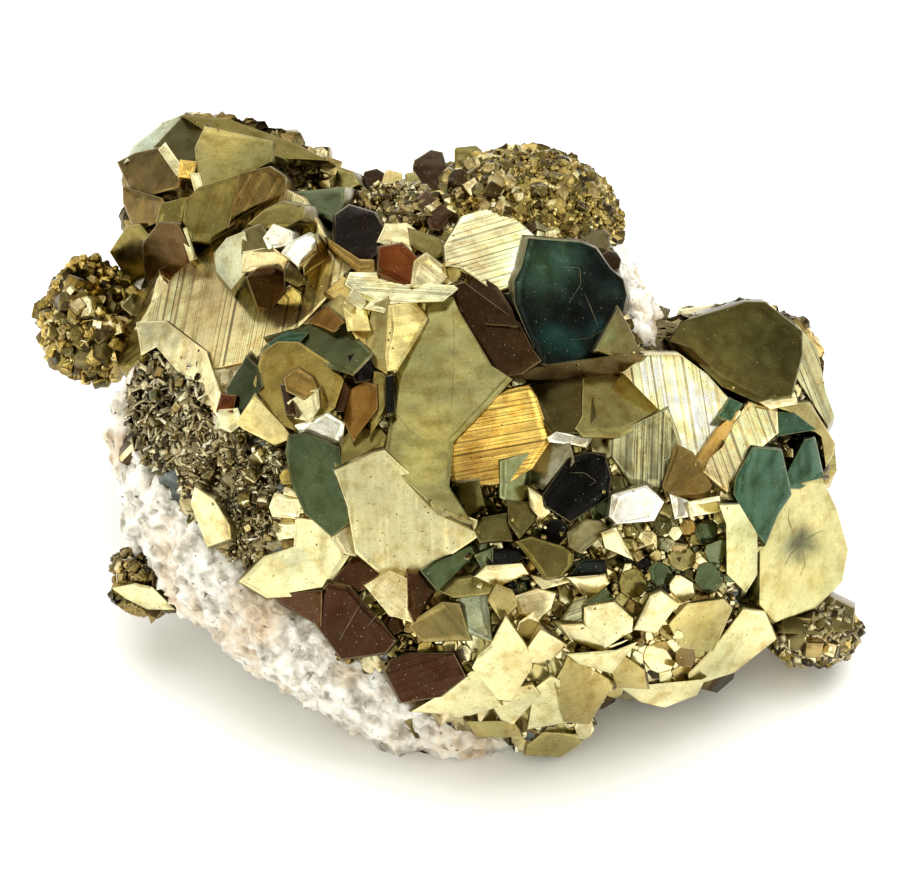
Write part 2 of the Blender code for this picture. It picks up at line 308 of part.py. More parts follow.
BODY_OUTLINE = [
    (-27, 4), (-26, 9.8), (-22.6, 14.1), (-17.8, 18), (-13.8, 20.6), (-8.5, 21.6), (-3, 22), (0.5, 23.2),
    (5, 23), (10, 21.6), (13, 19), (16.5, 14), (19, 10.5), (26, 10), (30, 7), (31, 1.5), (31, -4), (32, -9),
    (30, -13), (26.5, -16), (21, -19.5), (16.5, -21), (13, -20.5), (10.8, -24), (6, -25.4), (0, -24),
    (-4.5, -20.6), (-11, -16), (-17.2, -11.6), (-21, -7.5), (-25.5, -1.5),
]

QUARTZ_OUTLINE = [
    (-28.9, 4), (-29.4, 1), (-28.8, -2.3), (-28.2, -5.5), (-27.1, -8), (-25.5, -11), (-22.5, -14),
     (-19.9, -15.2),
    (-17.2, -18.4), (-13.2, -20.7), (-8.8, -23.1), (-4.4, -25.6), (0.5, -26.4), (4, -25.9), (8, -23.4),
     (13, -18.6),
    (19, -14), (24, -6), (23.4, 2), (18.8, 8), (17.8, 12), (15.8, 15), (14.8, 18), (12.4, 20.2), (6, 20),
    (-1, 19), (-8, 17), (-14, 16.6), (-20, 12.6), (-25, 8.6),
]


def swell_depth(swell, across, up):
    """Depth of a swell: its rim, less a lean, plus the bulge times 1 - 0.55 r^2 - 0.45 r^6."""
    centre_across, centre_up, half_width, half_height, rim, lean, bulge = swell
    r2 = ((across - centre_across) / half_width) ** 2 + ((up - centre_up) / half_height) ** 2
    r2 = np.minimum(r2, 1.35)
    return rim - lean * (up - centre_up) + bulge * (1 - 0.55 * r2 - 0.45 * r2**3)


def in_space(view_points):
    """World points in metres of rows (across, up, out) in mm of the view's own frame."""
    across, up, out = np.asarray(view_points, float).T
    cos_e = math.cos(SIGHT_ELEVATION)
    sin_e = math.sin(SIGHT_ELEVATION)
    x = across - ORIGIN_ACROSS
    y = up * sin_e - out * cos_e - ORIGIN_BACK
    z = up * cos_e + out * sin_e + HEIGHT_OF_VIEW_CENTRE
    return np.stack([x, y, z], axis=1) * MM


def on_sight_lines(across, up, out):
    """Places picture points at a depth along their own lines of sight, which meet at the viewer."""
    nearer = 1 - out / VIEW_DISTANCE
    return np.stack([across * nearer, up * nearer, out], axis=1)


def face_block(bm, swell, faces_right, faces_up, stands_out, outline, depth=BLOCK_DEPTH):
    """Adds a crystal's end: a flat face seen as the outline, with sides that flare backwards."""
    picture = np.array(outline, float)
    turn = np.roll(picture, -1, axis=0)
    if np.sum(picture[:, 0] * turn[:, 1] - picture[:, 1] * turn[:, 0]) < 0:
        picture = picture[::-1]
    across, up = picture.T
    middle = picture.mean(axis=0)
    rise = swell_depth(swell, across, up)
    offsets = picture - middle
    fit = np.linalg.lstsq(np.column_stack([offsets, np.ones(len(rise))]), rise, rcond=None)[0]
    slope_across = fit[0] * SLOPE_KEPT - faces_right
    slope_up = fit[1] * SLOPE_KEPT - faces_up
    ease = min(1, STEEPEST / math.hypot(slope_across, slope_up))
    slope_across *= ease
    slope_up *= ease
    level = fit[2] + stands_out - SETTLED - slope_across * middle[0] - slope_up * middle[1]
    lean = slope_across * across + slope_up * up
    out = (level + lean) / (1 + lean / VIEW_DISTANCE)
    front = on_sight_lines(across, up, out)
    centre = front.mean(axis=0)
    spread = 1 + BLOCK_FLARE * depth / max(1.5, np.abs(front - centre).mean() * 2)
    back = centre + (front - centre) * spread - np.array([0, 0, depth])
    tops = [bm.verts.new(p) for p in in_space(front)]
    bottoms = [bm.verts.new(p) for p in in_space(back)]
    bm.faces.new(tops)
    bm.faces.new(bottoms[::-1])
    for i in range(len(tops)):
        j = (i + 1) % len(tops)
        bm.faces.new((tops[i], bottoms[i], bottoms[j], tops[j]))


def cut_cube(bm, centre, size, turn, cut):
    """Adds a cube whose eight corners are cut off, the shape that small pyrite crystals take."""
    half = size / 2
    points = []
    for signs in [(x, y, z) for x in (-1, 1) for y in (-1, 1) for z in (-1, 1)]:
        for axis in range(3):
            corner = Vector(signs) * half
            corner[axis] *= 1 - 2 * cut
            points.append(bm.verts.new(centre + turn @ corner))
    hull = bmesh.ops.convex_hull(bm, input=points)
    loose = [v for v in hull["geom_interior"] + hull["geom_unused"] if isinstance(v, bmesh.types.BMVert)]
    bmesh.ops.delete(bm, geom=loose, context="VERTS")


def any_turn(dice):
    """A turn drawn evenly over all directions."""
    axis = Vector((dice.gauss(0, 1), dice.gauss(0, 1), dice.gauss(0, 1))).normalized()
    return Matrix.Rotation(dice.uniform(0, math.tau), 3, axis)


def cube(bm, centre, size, turn):
    """Adds a plain cube, the shape of the smallest crystals."""
    place = Matrix.Translation(centre) @ turn.to_4x4()
    bmesh.ops.create_cube(bm, size=size, matrix=place)


def druse(bm, swell, across, up, spread, size, count, dice):
    """Adds small crystals on a swell, on a sunflower pattern with a little scatter."""
    for i in range(count):
        angle = i * GOLDEN_ANGLE + dice.uniform(-0.3, 0.3)
        radius = spread * math.sqrt((i + 0.5) / count)
        u = across + radius * math.cos(angle)
        v = up + radius * math.sin(angle)
        w = swell_depth(swell, u, v) + dice.uniform(0.0, 0.6)
        place = on_sight_lines(np.array([u]), np.array([v]), np.array([w]))
        grown = size * dice.uniform(0.7, 1.25)
        cube(bm, Vector(in_space(place)[0]), grown * MM, any_turn(dice))


def pillow(outline, middle, swell, sunk, thickness, fineness=3):
    """A closed body that is seen as the outline: a sphere whose distance from its axis is scaled
    to the outline, whose front follows the swell less sunk(across, up), and whose back is round."""
    bm = bmesh.new()
    bmesh.ops.create_icosphere(bm, subdivisions=fineness, radius=1)
    bm.verts.ensure_lookup_table()
    ball = np.array([v.co for v in bm.verts])
    rim = np.array(outline, float) - middle
    angles = np.arctan2(rim[:, 1], rim[:, 0])
    order = np.argsort(angles)
    angle = np.arctan2(ball[:, 1], ball[:, 0])
    reach = np.interp(angle, angles[order], np.hypot(*rim[order].T), period=math.tau)
    radius = np.hypot(ball[:, 0], ball[:, 1]) * reach
    across = middle[0] + radius * np.cos(angle)
    up = middle[1] + radius * np.sin(angle)
    rim_depth = swell[4] - swell[5] * (up - swell[1])
    front = swell_depth(swell, across, up) - sunk(across, up)
    share = np.clip(ball[:, 2] / 0.35, 0, 1)
    share = share * share * (3 - 2 * share)
    forward = np.maximum(front - rim_depth, 0.5) * share
    out = rim_depth + np.where(ball[:, 2] > 0, forward, ball[:, 2] * thickness)
    return bm, np.stack([across, up, out], axis=1)


def past_quartz_edge(across, up):
    """Distance in mm from the quartz's visible band at the lower left, into the pyrite."""
    return ((across + 27) * 22.5 + (up + 1) * 29) / 36.7


def pyrite_sunk(across, up):
    """How far the pyrite's mass lies under the swell: just under its faces, deep under the quartz."""
    band = np.clip(-past_quartz_edge(across, up) - 2.0, 0, 3) * 2.5
    bare = 7.0 * np.exp(-(((across - 16) / 2.6) ** 2 + ((up - 13.5) / 5.0) ** 2) ** 2)
    return 0.7 + band + bare


def quartz_sunk(across, up):
    """How far the quartz lies under the swell: level with it at the lower left, and deep elsewhere."""
    crust = np.clip((past_quartz_edge(across, up) + 2.6) * 0.9, 0, 6.5)
    bare = 3.4 * np.exp(-(((across - 16) / 3.2) ** 2 + ((up - 13.5) / 6.0) ** 2) ** 2)
    return crust - bare


def lumps(points, height):
    """Rounded lumps about 4 mm apart: products of sines of the place, times the height."""
    x, y, z = points.T
    coarse = np.sin(x * 1.15 + 0.6 * y) * np.sin(y * 1.05 - 0.5 * z) + np.sin(z * 1.2 + 0.4 * x)
    fine = np.sin(x * 2.7 + 1) * np.sin(y * 2.9 + z) * np.sin(z * 2.5 + 2)
    return height * (0.6 * coarse + 0.7 * fine)


def trim_below(bm, height):
    """Cuts the mesh off flat at a height and closes the cut."""
    geometry = bm.verts[:] + bm.edges[:] + bm.faces[:]
    bmesh.ops.bisect_plane(bm, geom=geometry, dist=1e-7, plane_co=(0, 0, height), plane_no=(0, 0, -1),
                           clear_outer=True)
    open_edges = [e for e in bm.edges if e.is_boundary]
    bmesh.ops.holes_fill(bm, edges=open_edges, sides=0)
    bmesh.ops.recalc_face_normals(bm, faces=bm.faces)


def quartz_mesh(grown):
    """The quartz, grown outwards by a number of mm. Grown above 0, it is the cutter for the pyrite."""
    bm, view = pillow(QUARTZ_OUTLINE, QUARTZ_CENTRE, BODY, quartz_sunk, QUARTZ_THICKNESS, fineness=4)
    hub = np.array([*QUARTZ_CENTRE, BODY[4]])
    outward = view - hub
    outward /= np.linalg.norm(outward, axis=1)[:, None]
    view = view + outward * lumps(view, LUMP_HEIGHT)[:, None]
    for vert, place in zip(bm.verts, in_space(view)):
        vert.co = place
    bm.normal_update()
    for vert in bm.verts:
        vert.co += vert.normal * grown * MM
    trim_below(bm, -CUTTER_REACH * MM if grown else 0.0)
    return bm


def object_from(bm, name, colour=None, roughness=0.5, metallic=0.0):
    """Makes an object of the mesh, with a material of its own when it has a colour."""
    mesh = bpy.data.meshes.new(name)
    bm.normal_update()
    bm.to_mesh(mesh)
    bm.free()
    obj = bpy.data.objects.new(name, mesh)
    bpy.context.scene.collection.objects.link(obj)
    if colour:
        material = bpy.data.materials.new(name)
        material.use_nodes = True
        shader = material.node_tree.nodes["Principled BSDF"]
        shader.inputs["Base Color"].default_value = (*colour, 1)
        shader.inputs["Roughness"].default_value = roughness
        shader.inputs["Metallic"].default_value = metallic
        mesh.materials.append(material)
    return obj


def combine(target, other, operation):
    """Joins or cuts with an exact Boolean, keeps the result, and removes the other object."""
    modifier = target.modifiers.new(operation.lower(), "BOOLEAN")
    modifier.operation = operation
    modifier.solver = "EXACT"
    modifier.use_self = operation == "UNION"
    modifier.object = other
    keep_result(target, modifier)
    bpy.data.objects.remove(other, do_unlink=True)


def keep_result(obj, modifier):
    """Turns what a modifier makes of the object into its own mesh."""
    graph = bpy.context.evaluated_depsgraph_get()
    mesh = bpy.data.meshes.new_from_object(obj.evaluated_get(graph))
    mesh.name = obj.name
    obj.modifiers.remove(modifier)
    obj.data = mesh


def join_overlaps(obj):
    """Unites the overlapping shells of one object with each other, by way of one of its own lumps."""
    bm = bmesh.new()
    made = bmesh.ops.create_icosphere(bm, subdivisions=1, radius=0.5 * MM)["verts"]
    middle = sum((Vector(corner) for corner in obj.bound_box), Vector()) / 8
    bmesh.ops.translate(bm, verts=made, vec=middle)
    combine(obj, object_from(bm, "seed"), "UNION")


def keep_largest(obj):
    """Drops crumbs and sealed hollows: only the shell with the most room inside it stays."""
    bm = bmesh.new()
    bm.from_mesh(obj.data)
    shells = []
    left = set(bm.faces)
    while left:
        shell = {left.pop()}
        front = set(shell)
        while front:
            front = {f for face in front for e in face.edges for f in e.link_faces} - shell
            shell |= front
        left -= shell
        shells.append(shell)
    largest = max(shells, key=lambda shell: room_inside(shell))
    spare = [face for shell in shells if shell is not largest for face in shell]
    bmesh.ops.delete(bm, geom=spare, context="FACES")
    bm.to_mesh(obj.data)
    bm.free()


def room_inside(shell):
    """Volume inside a closed set of faces."""
    total = 0.0
    for face in shell:
        first = face.verts[0].co
        for a, b in zip(face.verts[1:-1], face.verts[2:]):
            total += first.dot(a.co.cross(b.co)) / 6
    return total


def rim_crystals(bm, dice):
    """Adds larger crystals that clothe the rim and the upper back of the pyrite."""
    rim = np.array(BODY_OUTLINE, float)
    for i in range(RIM_CRYSTALS):
        spot = (i * GOLDEN_SHARE) % 1 * RIM_SIDES
        k = int(spot)
        u, v = rim[k] + (rim[k + 1] - rim[k]) * (spot - k)
        inward = dice.uniform(0.0, 0.30)
        u += (3 - u) * inward
        v += (BODY[1] - v) * inward
        middle = BODY[4] - BODY[5] * (v - BODY[1])
        w = middle - dice.uniform(0.5, 4) - 13.5 * math.sqrt(inward)
        size = dice.uniform(3.2, 6.8)
        place = Vector(in_space([(u, v, w)])[0])
        over_bare_quartz = 9 < u < 21 and 7 < v < 24
        if place.z > RIM_HEIGHT * MM and not over_bare_quartz:
            cut_cube(bm, place, size * MM, any_turn(dice), dice.uniform(0.14, 0.30))


def pyrite_cluster():
    """The intergrown pyrite: its mass, lumps, faces, druses and rim, joined and fitted on the quartz."""
    dice = random.Random(DRUSE_SEED)
    bm, view = pillow(BODY_OUTLINE, PYRITE_CENTRE, BODY, pyrite_sunk, PYRITE_THICKNESS)
    for vert, place in zip(bm.verts, in_space(view)):
        vert.co = place
    mass = object_from(bm, "pyrite_cluster", BRASS, 0.25, 1.0)
    bm = bmesh.new()
    for swell, sunk in MASSES:
        add_swell(bm, swell, sunk)
    for face in FACES:
        face_block(bm, *face)
    for swell, across, up, spread, size, count in DRUSES:
        druse(bm, swell, across, up, spread, size, count, dice)
    rim_crystals(bm, dice)
    combine(mass, object_from(bm, "crystals"), "UNION")
    thin_out(mass, TRIANGLES_KEPT)
    combine(mass, object_from(quartz_mesh(GAP), "quartz_seat"), "DIFFERENCE")
    bm = bmesh.new()
    bm.from_mesh(mass.data)
    trim_below(bm, PYRITE_CLEARANCE * MM)
    bm.to_mesh(mass.data)
    bm.free()
    keep_largest(mass)


def thin_out(obj, share):
    """Collapses the shortest and flattest edges that the Booleans leave, down to a share of the triangles."""
    modifier = obj.modifiers.new("thin_out", "DECIMATE")
    modifier.ratio = share
    modifier.use_collapse_triangulate = True
    keep_result(obj, modifier)


def add_swell(bm, swell, sunk):
    """Adds a rounded mass that stops a little short of a swell, and reaches back past its rim."""
    centre_across, centre_up, half_width, half_height, rim, lean, bulge = swell
    made = bmesh.ops.create_icosphere(bm, subdivisions=2, radius=1)["verts"]
    ball = np.array([v.co for v in made])
    across = centre_across + ball[:, 0] * half_width * MASS_SHARE
    up = centre_up + ball[:, 1] * half_height * MASS_SHARE
    level = rim - lean * (up - centre_up)
    forward = ball[:, 2] * (bulge - sunk)
    backward = ball[:, 2] * min(half_width, DEEPEST_MASS)
    out = level + np.where(ball[:, 2] > 0, forward, backward)
    for vert, place in zip(made, in_space(np.stack([across, up, out], axis=1))):
        vert.co = place


def corner_crystal():
    """The lone pyrite crystal low on the left."""
    bm = bmesh.new()
    for face in CORNER_FACES:
        face_block(bm, *face)
    add_swell(bm, CORNER, 0.8)
    return bm


for old in list(bpy.data.objects):
    bpy.data.objects.remove(old, do_unlink=True)

object_from(quartz_mesh(0), "quartz_matrix", MILKY_QUARTZ, 0.55)
pyrite_cluster()
corner = object_from(corner_crystal(), "pyrite_corner_crystal", PALE_BRASS, 0.3, 1.0)
join_overlaps(corner)
combine(corner, object_from(quartz_mesh(GAP), "quartz_seat"), "DIFFERENCE")
keep_largest(corner)
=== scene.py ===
"""A hand-sized cluster of pyrite crystals on white quartz, finished as it looks in daylight.

Lengths below are in millimetres unless a line says otherwise. The specimen is read in the view of its
best side: across to the right, up the picture, and out towards the viewer, who looks along +Y and down.
"""

import math
import random

import bpy
import numpy as np
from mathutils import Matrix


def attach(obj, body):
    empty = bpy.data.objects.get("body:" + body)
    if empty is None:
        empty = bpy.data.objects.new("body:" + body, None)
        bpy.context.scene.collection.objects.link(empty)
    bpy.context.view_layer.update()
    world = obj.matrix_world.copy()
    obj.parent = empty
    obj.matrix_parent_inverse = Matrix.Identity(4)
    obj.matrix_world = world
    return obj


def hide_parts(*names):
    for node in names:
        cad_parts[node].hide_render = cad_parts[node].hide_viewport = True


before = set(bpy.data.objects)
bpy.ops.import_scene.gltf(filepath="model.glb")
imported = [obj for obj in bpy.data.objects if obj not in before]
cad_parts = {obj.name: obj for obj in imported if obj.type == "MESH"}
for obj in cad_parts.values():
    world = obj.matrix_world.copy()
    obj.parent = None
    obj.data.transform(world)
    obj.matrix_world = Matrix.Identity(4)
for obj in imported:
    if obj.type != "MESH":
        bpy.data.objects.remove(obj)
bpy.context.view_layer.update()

# The viewer: stands a hand's length off and looks down on the specimen, as one looks at a stone on a table.
# A picture point and a depth give a place in space, and every crystal below is set by that rule.

MM = 0.001
VIEW_DOWN = math.radians(40)
VIEW_DISTANCE = 208.3
VIEW_CENTRE = np.array([0.3, -8.6, 20.4])
LENS_MM = 100
SENSOR_MM = 36


def in_space(across, up, out):
    """World points in mm: across stays level, while up and out turn about it by the angle of the view."""
    across, up, out = np.broadcast_arrays(across, up, out)
    x = VIEW_CENTRE[0] + across
    y = VIEW_CENTRE[1] + up * math.sin(VIEW_DOWN) - out * math.cos(VIEW_DOWN)
    z = VIEW_CENTRE[2] + up * math.cos(VIEW_DOWN) + out * math.sin(VIEW_DOWN)
    return np.stack([x, y, z], axis=-1)


def seen_at(across, up, out):
    """World points in mm that the camera sees at a picture point, at a depth: nearer ones lie closer in."""
    nearer = 1 - out / VIEW_DISTANCE
    return in_space(across * nearer, up * nearer, out)


def in_view(points):
    """Where world points in mm are seen: the picture point across and up, and how far out they are."""
    placed = points - VIEW_CENTRE
    up = placed[:, 1] * math.sin(VIEW_DOWN) + placed[:, 2] * math.cos(VIEW_DOWN)
    out = placed[:, 2] * math.sin(VIEW_DOWN) - placed[:, 1] * math.cos(VIEW_DOWN)
    nearer = 1 - out / VIEW_DISTANCE
    return placed[:, 0] / nearer, up / nearer, out


camera = bpy.data.objects.new("camera", bpy.data.cameras.new("camera"))
camera.data.lens = LENS_MM
camera.data.sensor_width = SENSOR_MM
camera.data.clip_start = 0.01
camera.location = in_space(0.0, 0.0, VIEW_DISTANCE) * MM
camera.rotation_euler = (math.pi / 2 - VIEW_DOWN, 0, 0)
bpy.context.scene.collection.objects.link(camera)
bpy.context.scene.camera = camera

# The quartz: one lump of milky, sugary vein quartz that carries the pyrite and rests on its flat underside.
# It is grown in place, so it has grains and no cut faces but the base, with iron stains near the pyrite.

BODY = (2.5, -1.0, 31.5, 25.5, -8.0, 0.28, 19.0)
QUARTZ_MIDDLE = (-3.0, -3.0)
QUARTZ_BACK = 15.5
QUARTZ_ROWS = 250
QUARTZ_COLUMNS = 380
QUARTZ_GRAIN = 1.3
QUARTZ_FINE_GRAIN = 0.55
ROUNDED_RIM = 0.35
BEYOND_RIM = 1.35
QUARTZ_OUTLINE = [
    (-28.9, 4), (-29.4, 1), (-28.8, -2.3), (-28.2, -5.5), (-27.1, -8), (-25.5, -11), (-22.5, -14),
    (-19.9, -15.2), (-17.2, -18.4), (-13.2, -20.7), (-8.8, -23.1), (-4.4, -25.6), (0.5, -26.4),
    (4, -25.9), (8, -23.4), (13, -18.6), (19, -14), (24, -6), (23.4, 2), (18.8, 8), (17.8, 12),
    (15.8, 15), (14.8, 18), (12.4, 20.2), (6, 20), (-1, 19), (-8, 17), (-14, 16.6), (-20, 12.6),
    (-25, 8.6),
]


def off_centre(swell, across, up):
    """How far off the centre of a swell a picture point lies: r^2, which is 1 at the swell's rim."""
    return ((across - swell[0]) / swell[2]) ** 2 + ((up - swell[1]) / swell[3]) ** 2


def swell_depth(swell, across, up):
    """Depth of a swell: its rim, less a lean, plus the bulge times 1 - 0.55 r^2 - 0.45 r^6."""
    centre_across, centre_up, half_width, half_height, rim, lean, bulge = swell
    r2 = np.minimum(off_centre(swell, across, up), BEYOND_RIM)
    return rim - lean * (up - centre_up) + bulge * (1 - 0.55 * r2 - 0.45 * r2**3)


def eased(share):
    """A share kept from 0 to 1, and eased at both ends: 3 s^2 - 2 s^3."""
    share = np.clip(share, 0, 1)
    return share * share * (3 - 2 * share)


def past_edge(across, up):
    """How far a picture point lies past the slanting line at the lower left where the pyrite ends, in mm.
    The bare quartz is on its negative side."""
    return ((across + 27) * 22.5 + (up + 1) * 29) / 36.7


def sphere_grid(rows, columns):
    """Unit sphere points, polar angle by longitude from the pole that faces the viewer, and its faces.
    The two rows at the poles are single points, closed by triangles."""
    polar = np.linspace(0, math.pi, rows)[1:-1, None]
    longitude = np.arange(columns)[None, :] * math.tau / columns
    ring = np.stack([np.sin(polar) * np.cos(longitude), np.sin(polar) * np.sin(longitude),
                     np.cos(polar) + 0 * longitude], axis=-1).reshape(-1, 3)
    points = np.concatenate([ring, [[0, 0, 1], [0, 0, -1]]])
    i = np.arange(rows - 3)[:, None] * columns
    j = np.arange(columns)[None, :]
    k = (j + 1) % columns
    quads = np.stack([i + j, i + columns + j, i + columns + k, i + k], axis=-1).reshape(-1, 4)
    last = (rows - 3) * columns
    near = np.stack([0 * j[0] + len(ring), j[0], k[0]], axis=1)
    far = np.stack([0 * j[0] + len(ring) + 1, last + k[0], last + j[0]], axis=1)
    return points, [quads, np.concatenate([near, far])]


def pillow(ball, outline, middle, swell, sunk, thickness):
    """A closed body seen as the outline: sphere points whose distance from the axis is scaled to the
    outline, whose front follows the swell less sunk(across, up), and whose back is round."""
    rim = np.array(outline, float) - middle
    angles = np.arctan2(rim[:, 1], rim[:, 0])
    order = np.argsort(angles)
    angle = np.arctan2(ball[:, 1], ball[:, 0])
    reach = np.interp(angle, angles[order], np.hypot(*rim[order].T), period=math.tau)
    radius = np.hypot(ball[:, 0], ball[:, 1]) * reach
    across = middle[0] + radius * np.cos(angle)
    up = middle[1] + radius * np.sin(angle)
    rim_depth = swell[4] - swell[5] * (up - swell[1])
    front = swell_depth(swell, across, up) - sunk(across, up)
    forward = np.maximum(front - rim_depth, 0.5) * eased(ball[:, 2] / ROUNDED_RIM)
    out = rim_depth + np.where(ball[:, 2] > 0, forward, ball[:, 2] * thickness)
    return np.stack([across, up, out], axis=1)


def lumps(points, height):
    """Rounded lumps about 3 mm apart: products of sines of the place, times the height."""
    x, y, z = points.T
    coarse = np.sin(x * 1.15 + 0.6 * y) * np.sin(y * 1.05 - 0.5 * z) + np.sin(z * 1.2 + 0.4 * x)
    fine = np.sin(x * 2.7 + 1) * np.sin(y * 2.9 + z) * np.sin(z * 2.5 + 2)
    return height * (0.6 * coarse + 0.7 * fine)


def chance(cells, channel):
    """A number from 0 to 1 for each whole-numbered cell: its three indices multiplied and mixed as bits."""
    mixed = (cells[..., 0] * 73856093) ^ (cells[..., 1] * 19349663) ^ (cells[..., 2] * 83492791)
    mixed = (mixed ^ (channel * 374761393)) & 0xFFFFFFFF
    mixed = ((mixed ^ (mixed >> 15)) * 2246822519) & 0xFFFFFFFF
    mixed = ((mixed ^ (mixed >> 13)) * 3266489917) & 0xFFFFFFFF
    return ((mixed ^ (mixed >> 16)) & 0xFFFFFF) / float(0x1000000)


def grains(points, size, channel):
    """Which grain each point lies in, when grains of a size fill space: the way from the grain's seed,
    and the grain's own whole-numbered cell. Each cell of a cubic lattice holds one seed off its centre."""
    scaled = points / size
    home = np.floor(scaled).astype(np.int64)
    best = np.full(len(points), np.inf)
    way = np.zeros_like(points)
    owner = home.copy()
    for step in np.ndindex(3, 3, 3):
        cell = home + np.array(step) - 1
        seed = cell + np.stack([chance(cell, channel + k) for k in range(3)], axis=1)
        offset = scaled - seed
        distance = (offset**2).sum(axis=1)
        nearer = distance < best
        best = np.where(nearer, distance, best)
        way = np.where(nearer[:, None], offset, way)
        owner = np.where(nearer[:, None], cell, owner)
    return way, owner


def facets(points, size, tilt, channel):
    """Height of a faceted crust: each grain is a plane tilted its own way, and stands at its own level."""
    way, owner = grains(points, size, channel)
    lean = np.stack([chance(owner, channel + 3 + k) for k in range(3)], axis=1) * 2 - 1
    return size * (tilt * (way * lean).sum(axis=1) + 0.22 * chance(owner, channel + 6)), owner


def vertex_normals(points, face_sets):
    """Each point's normal: the sum of the cross products of the diagonals of the faces round it."""
    total = np.zeros_like(points)
    for faces in face_sets:
        a, b, c = points[faces[:, 0]], points[faces[:, 1]], points[faces[:, 2]]
        normal = np.cross(b - a, c - a)
        for corner in range(faces.shape[1]):
            np.add.at(total, faces[:, corner], normal)
    return total / np.maximum(np.linalg.norm(total, axis=1), 1e-12)[:, None]


def quartz_sunk(across, up):
    """How far the quartz lies under the swell: level with it at the lower left, and deep elsewhere."""
    crust = np.clip((past_edge(across, up) + 2.6) * 0.9, 0, 6.5)
    bare = 3.4 * np.exp(-(((across - 16) / 3.2) ** 2 + ((up - 13.5) / 6.0) ** 2) ** 2)
    return crust - bare


def mesh_piece(name, points, face_sets, shades=None, glosses=None):
    """Makes a mesh object of points in mm and of sets of faces, with a shade and a gloss for each face."""
    loops = np.concatenate([faces.ravel() for faces in face_sets])
    sizes = np.concatenate([np.full(len(faces), faces.shape[1]) for faces in face_sets])
    mesh = bpy.data.meshes.new(name)
    mesh.vertices.add(len(points))
    mesh.vertices.foreach_set("co", (points * MM).astype(np.float32).ravel())
    mesh.loops.add(len(loops))
    mesh.loops.foreach_set("vertex_index", loops.astype(np.int32))
    mesh.polygons.add(len(sizes))
    mesh.polygons.foreach_set("loop_start", (np.cumsum(sizes) - sizes).astype(np.int32))
    mesh.update(calc_edges=True)
    if shades is not None:
        colours = np.concatenate([shades, np.ones((len(shades), 1))], axis=1)
        shade = mesh.attributes.new("shade", "FLOAT_COLOR", "FACE")
        shade.data.foreach_set("color", colours.astype(np.float32).ravel())
        gloss = mesh.attributes.new("gloss", "FLOAT", "FACE")
        gloss.data.foreach_set("value", glosses.astype(np.float32))
    obj = bpy.data.objects.new(name, mesh)
    bpy.context.scene.collection.objects.link(obj)
    return obj


def node_material(name):
    """A material with its shader, its tree and the Object coordinates that its patterns read."""
    material = bpy.data.materials.new(name)
    material.use_nodes = True
    tree = material.node_tree
    place = tree.nodes.new("ShaderNodeTexCoord").outputs["Object"]
    return material, tree, tree.nodes["Principled BSDF"], place


def noise(tree, place, grain, detail=4.0, roughness=0.6):
    """A soft cloud pattern whose patches are about a grain across, in mm."""
    node = tree.nodes.new("ShaderNodeTexNoise")
    node.inputs["Scale"].default_value = 1 / (grain * MM)
    node.inputs["Detail"].default_value = detail
    node.inputs["Roughness"].default_value = roughness
    tree.links.new(place, node.inputs["Vector"])
    return node.outputs["Fac"]


def ramp(tree, value, *stops):
    """Colours along a value: stops are (where, colour)."""
    node = tree.nodes.new("ShaderNodeValToRGB")
    elements = node.color_ramp.elements
    while len(elements) < len(stops):
        elements.new(0.5)
    for element, (where, colour) in zip(elements, stops):
        element.position = where
        element.color = (*colour, 1) if len(colour) == 3 else colour
    tree.links.new(value, node.inputs["Fac"])
    return node.outputs["Color"]


def blend_colours(tree, share, first, second, kind="MIX"):
    """One colour over another, by a share that is a number or a socket."""
    node = tree.nodes.new("ShaderNodeMix")
    node.data_type = "RGBA"
    node.blend_type = kind
    for socket, value in ((node.inputs[0], share), (node.inputs[6], first), (node.inputs[7], second)):
        if isinstance(value, bpy.types.NodeSocket):
            tree.links.new(value, socket)
        else:
            socket.default_value = value
    return node.outputs[2]


def calculate(tree, operation, first, second=0.0, third=0.0):
    """Arithmetic on numbers or sockets."""
    node = tree.nodes.new("ShaderNodeMath")
    node.operation = operation
    for socket, value in zip(node.inputs, (first, second, third)):
        if isinstance(value, bpy.types.NodeSocket):
            tree.links.new(value, socket)
        else:
            socket.default_value = value
    return node.outputs[0]


def raise_by(tree, shader, height, depth):
    """Bumps the shader's surface by a height pattern, to a depth in mm."""
    bump = tree.nodes.new("ShaderNodeBump")
    bump.inputs["Distance"].default_value = depth * MM
    tree.links.new(height, bump.inputs["Height"])
    tree.links.new(bump.outputs["Normal"], shader.inputs["Normal"])


def quartz_material():
    """White grains with greyer, clearer ones between, peach iron stains in drifts and dark specks."""
    material, tree, shader, place = node_material("milky_quartz")
    clear = ramp(tree, noise(tree, place, 1.6), (0.36, (0.36, 0.335, 0.27)), (0.50, (0.73, 0.70, 0.62)),
                 (0.64, (0.94, 0.92, 0.86)))
    stain_share = ramp(tree, noise(tree, place, 7.0, 3.0), (0.50, (0, 0, 0)), (0.64, (0.75, 0.75, 0.75)))
    stain_grain = ramp(tree, noise(tree, place, 1.0), (0.35, (0.38, 0.24, 0.11)),
                       (0.55, (0.72, 0.55, 0.36)))
    stained = blend_colours(tree, stain_share, clear, stain_grain)
    soot = ramp(tree, noise(tree, place, 0.55, 2.0), (0.285, (1, 1, 1)), (0.315, (0, 0, 0)))
    specked = blend_colours(tree, soot, stained, (0.08, 0.065, 0.035, 1))
    tree.links.new(specked, shader.inputs["Base Color"])
    shader.inputs["Roughness"].default_value = 0.34
    shader.inputs["IOR"].default_value = 1.54
    shader.inputs["Subsurface Weight"].default_value = 0.55
    shader.inputs["Subsurface Radius"].default_value = (1.0, 0.93, 0.8)
    shader.inputs["Subsurface Scale"].default_value = 1.0 * MM
    raise_by(tree, shader, noise(tree, place, 0.30, 5.0, 0.7), 0.07)
    return material


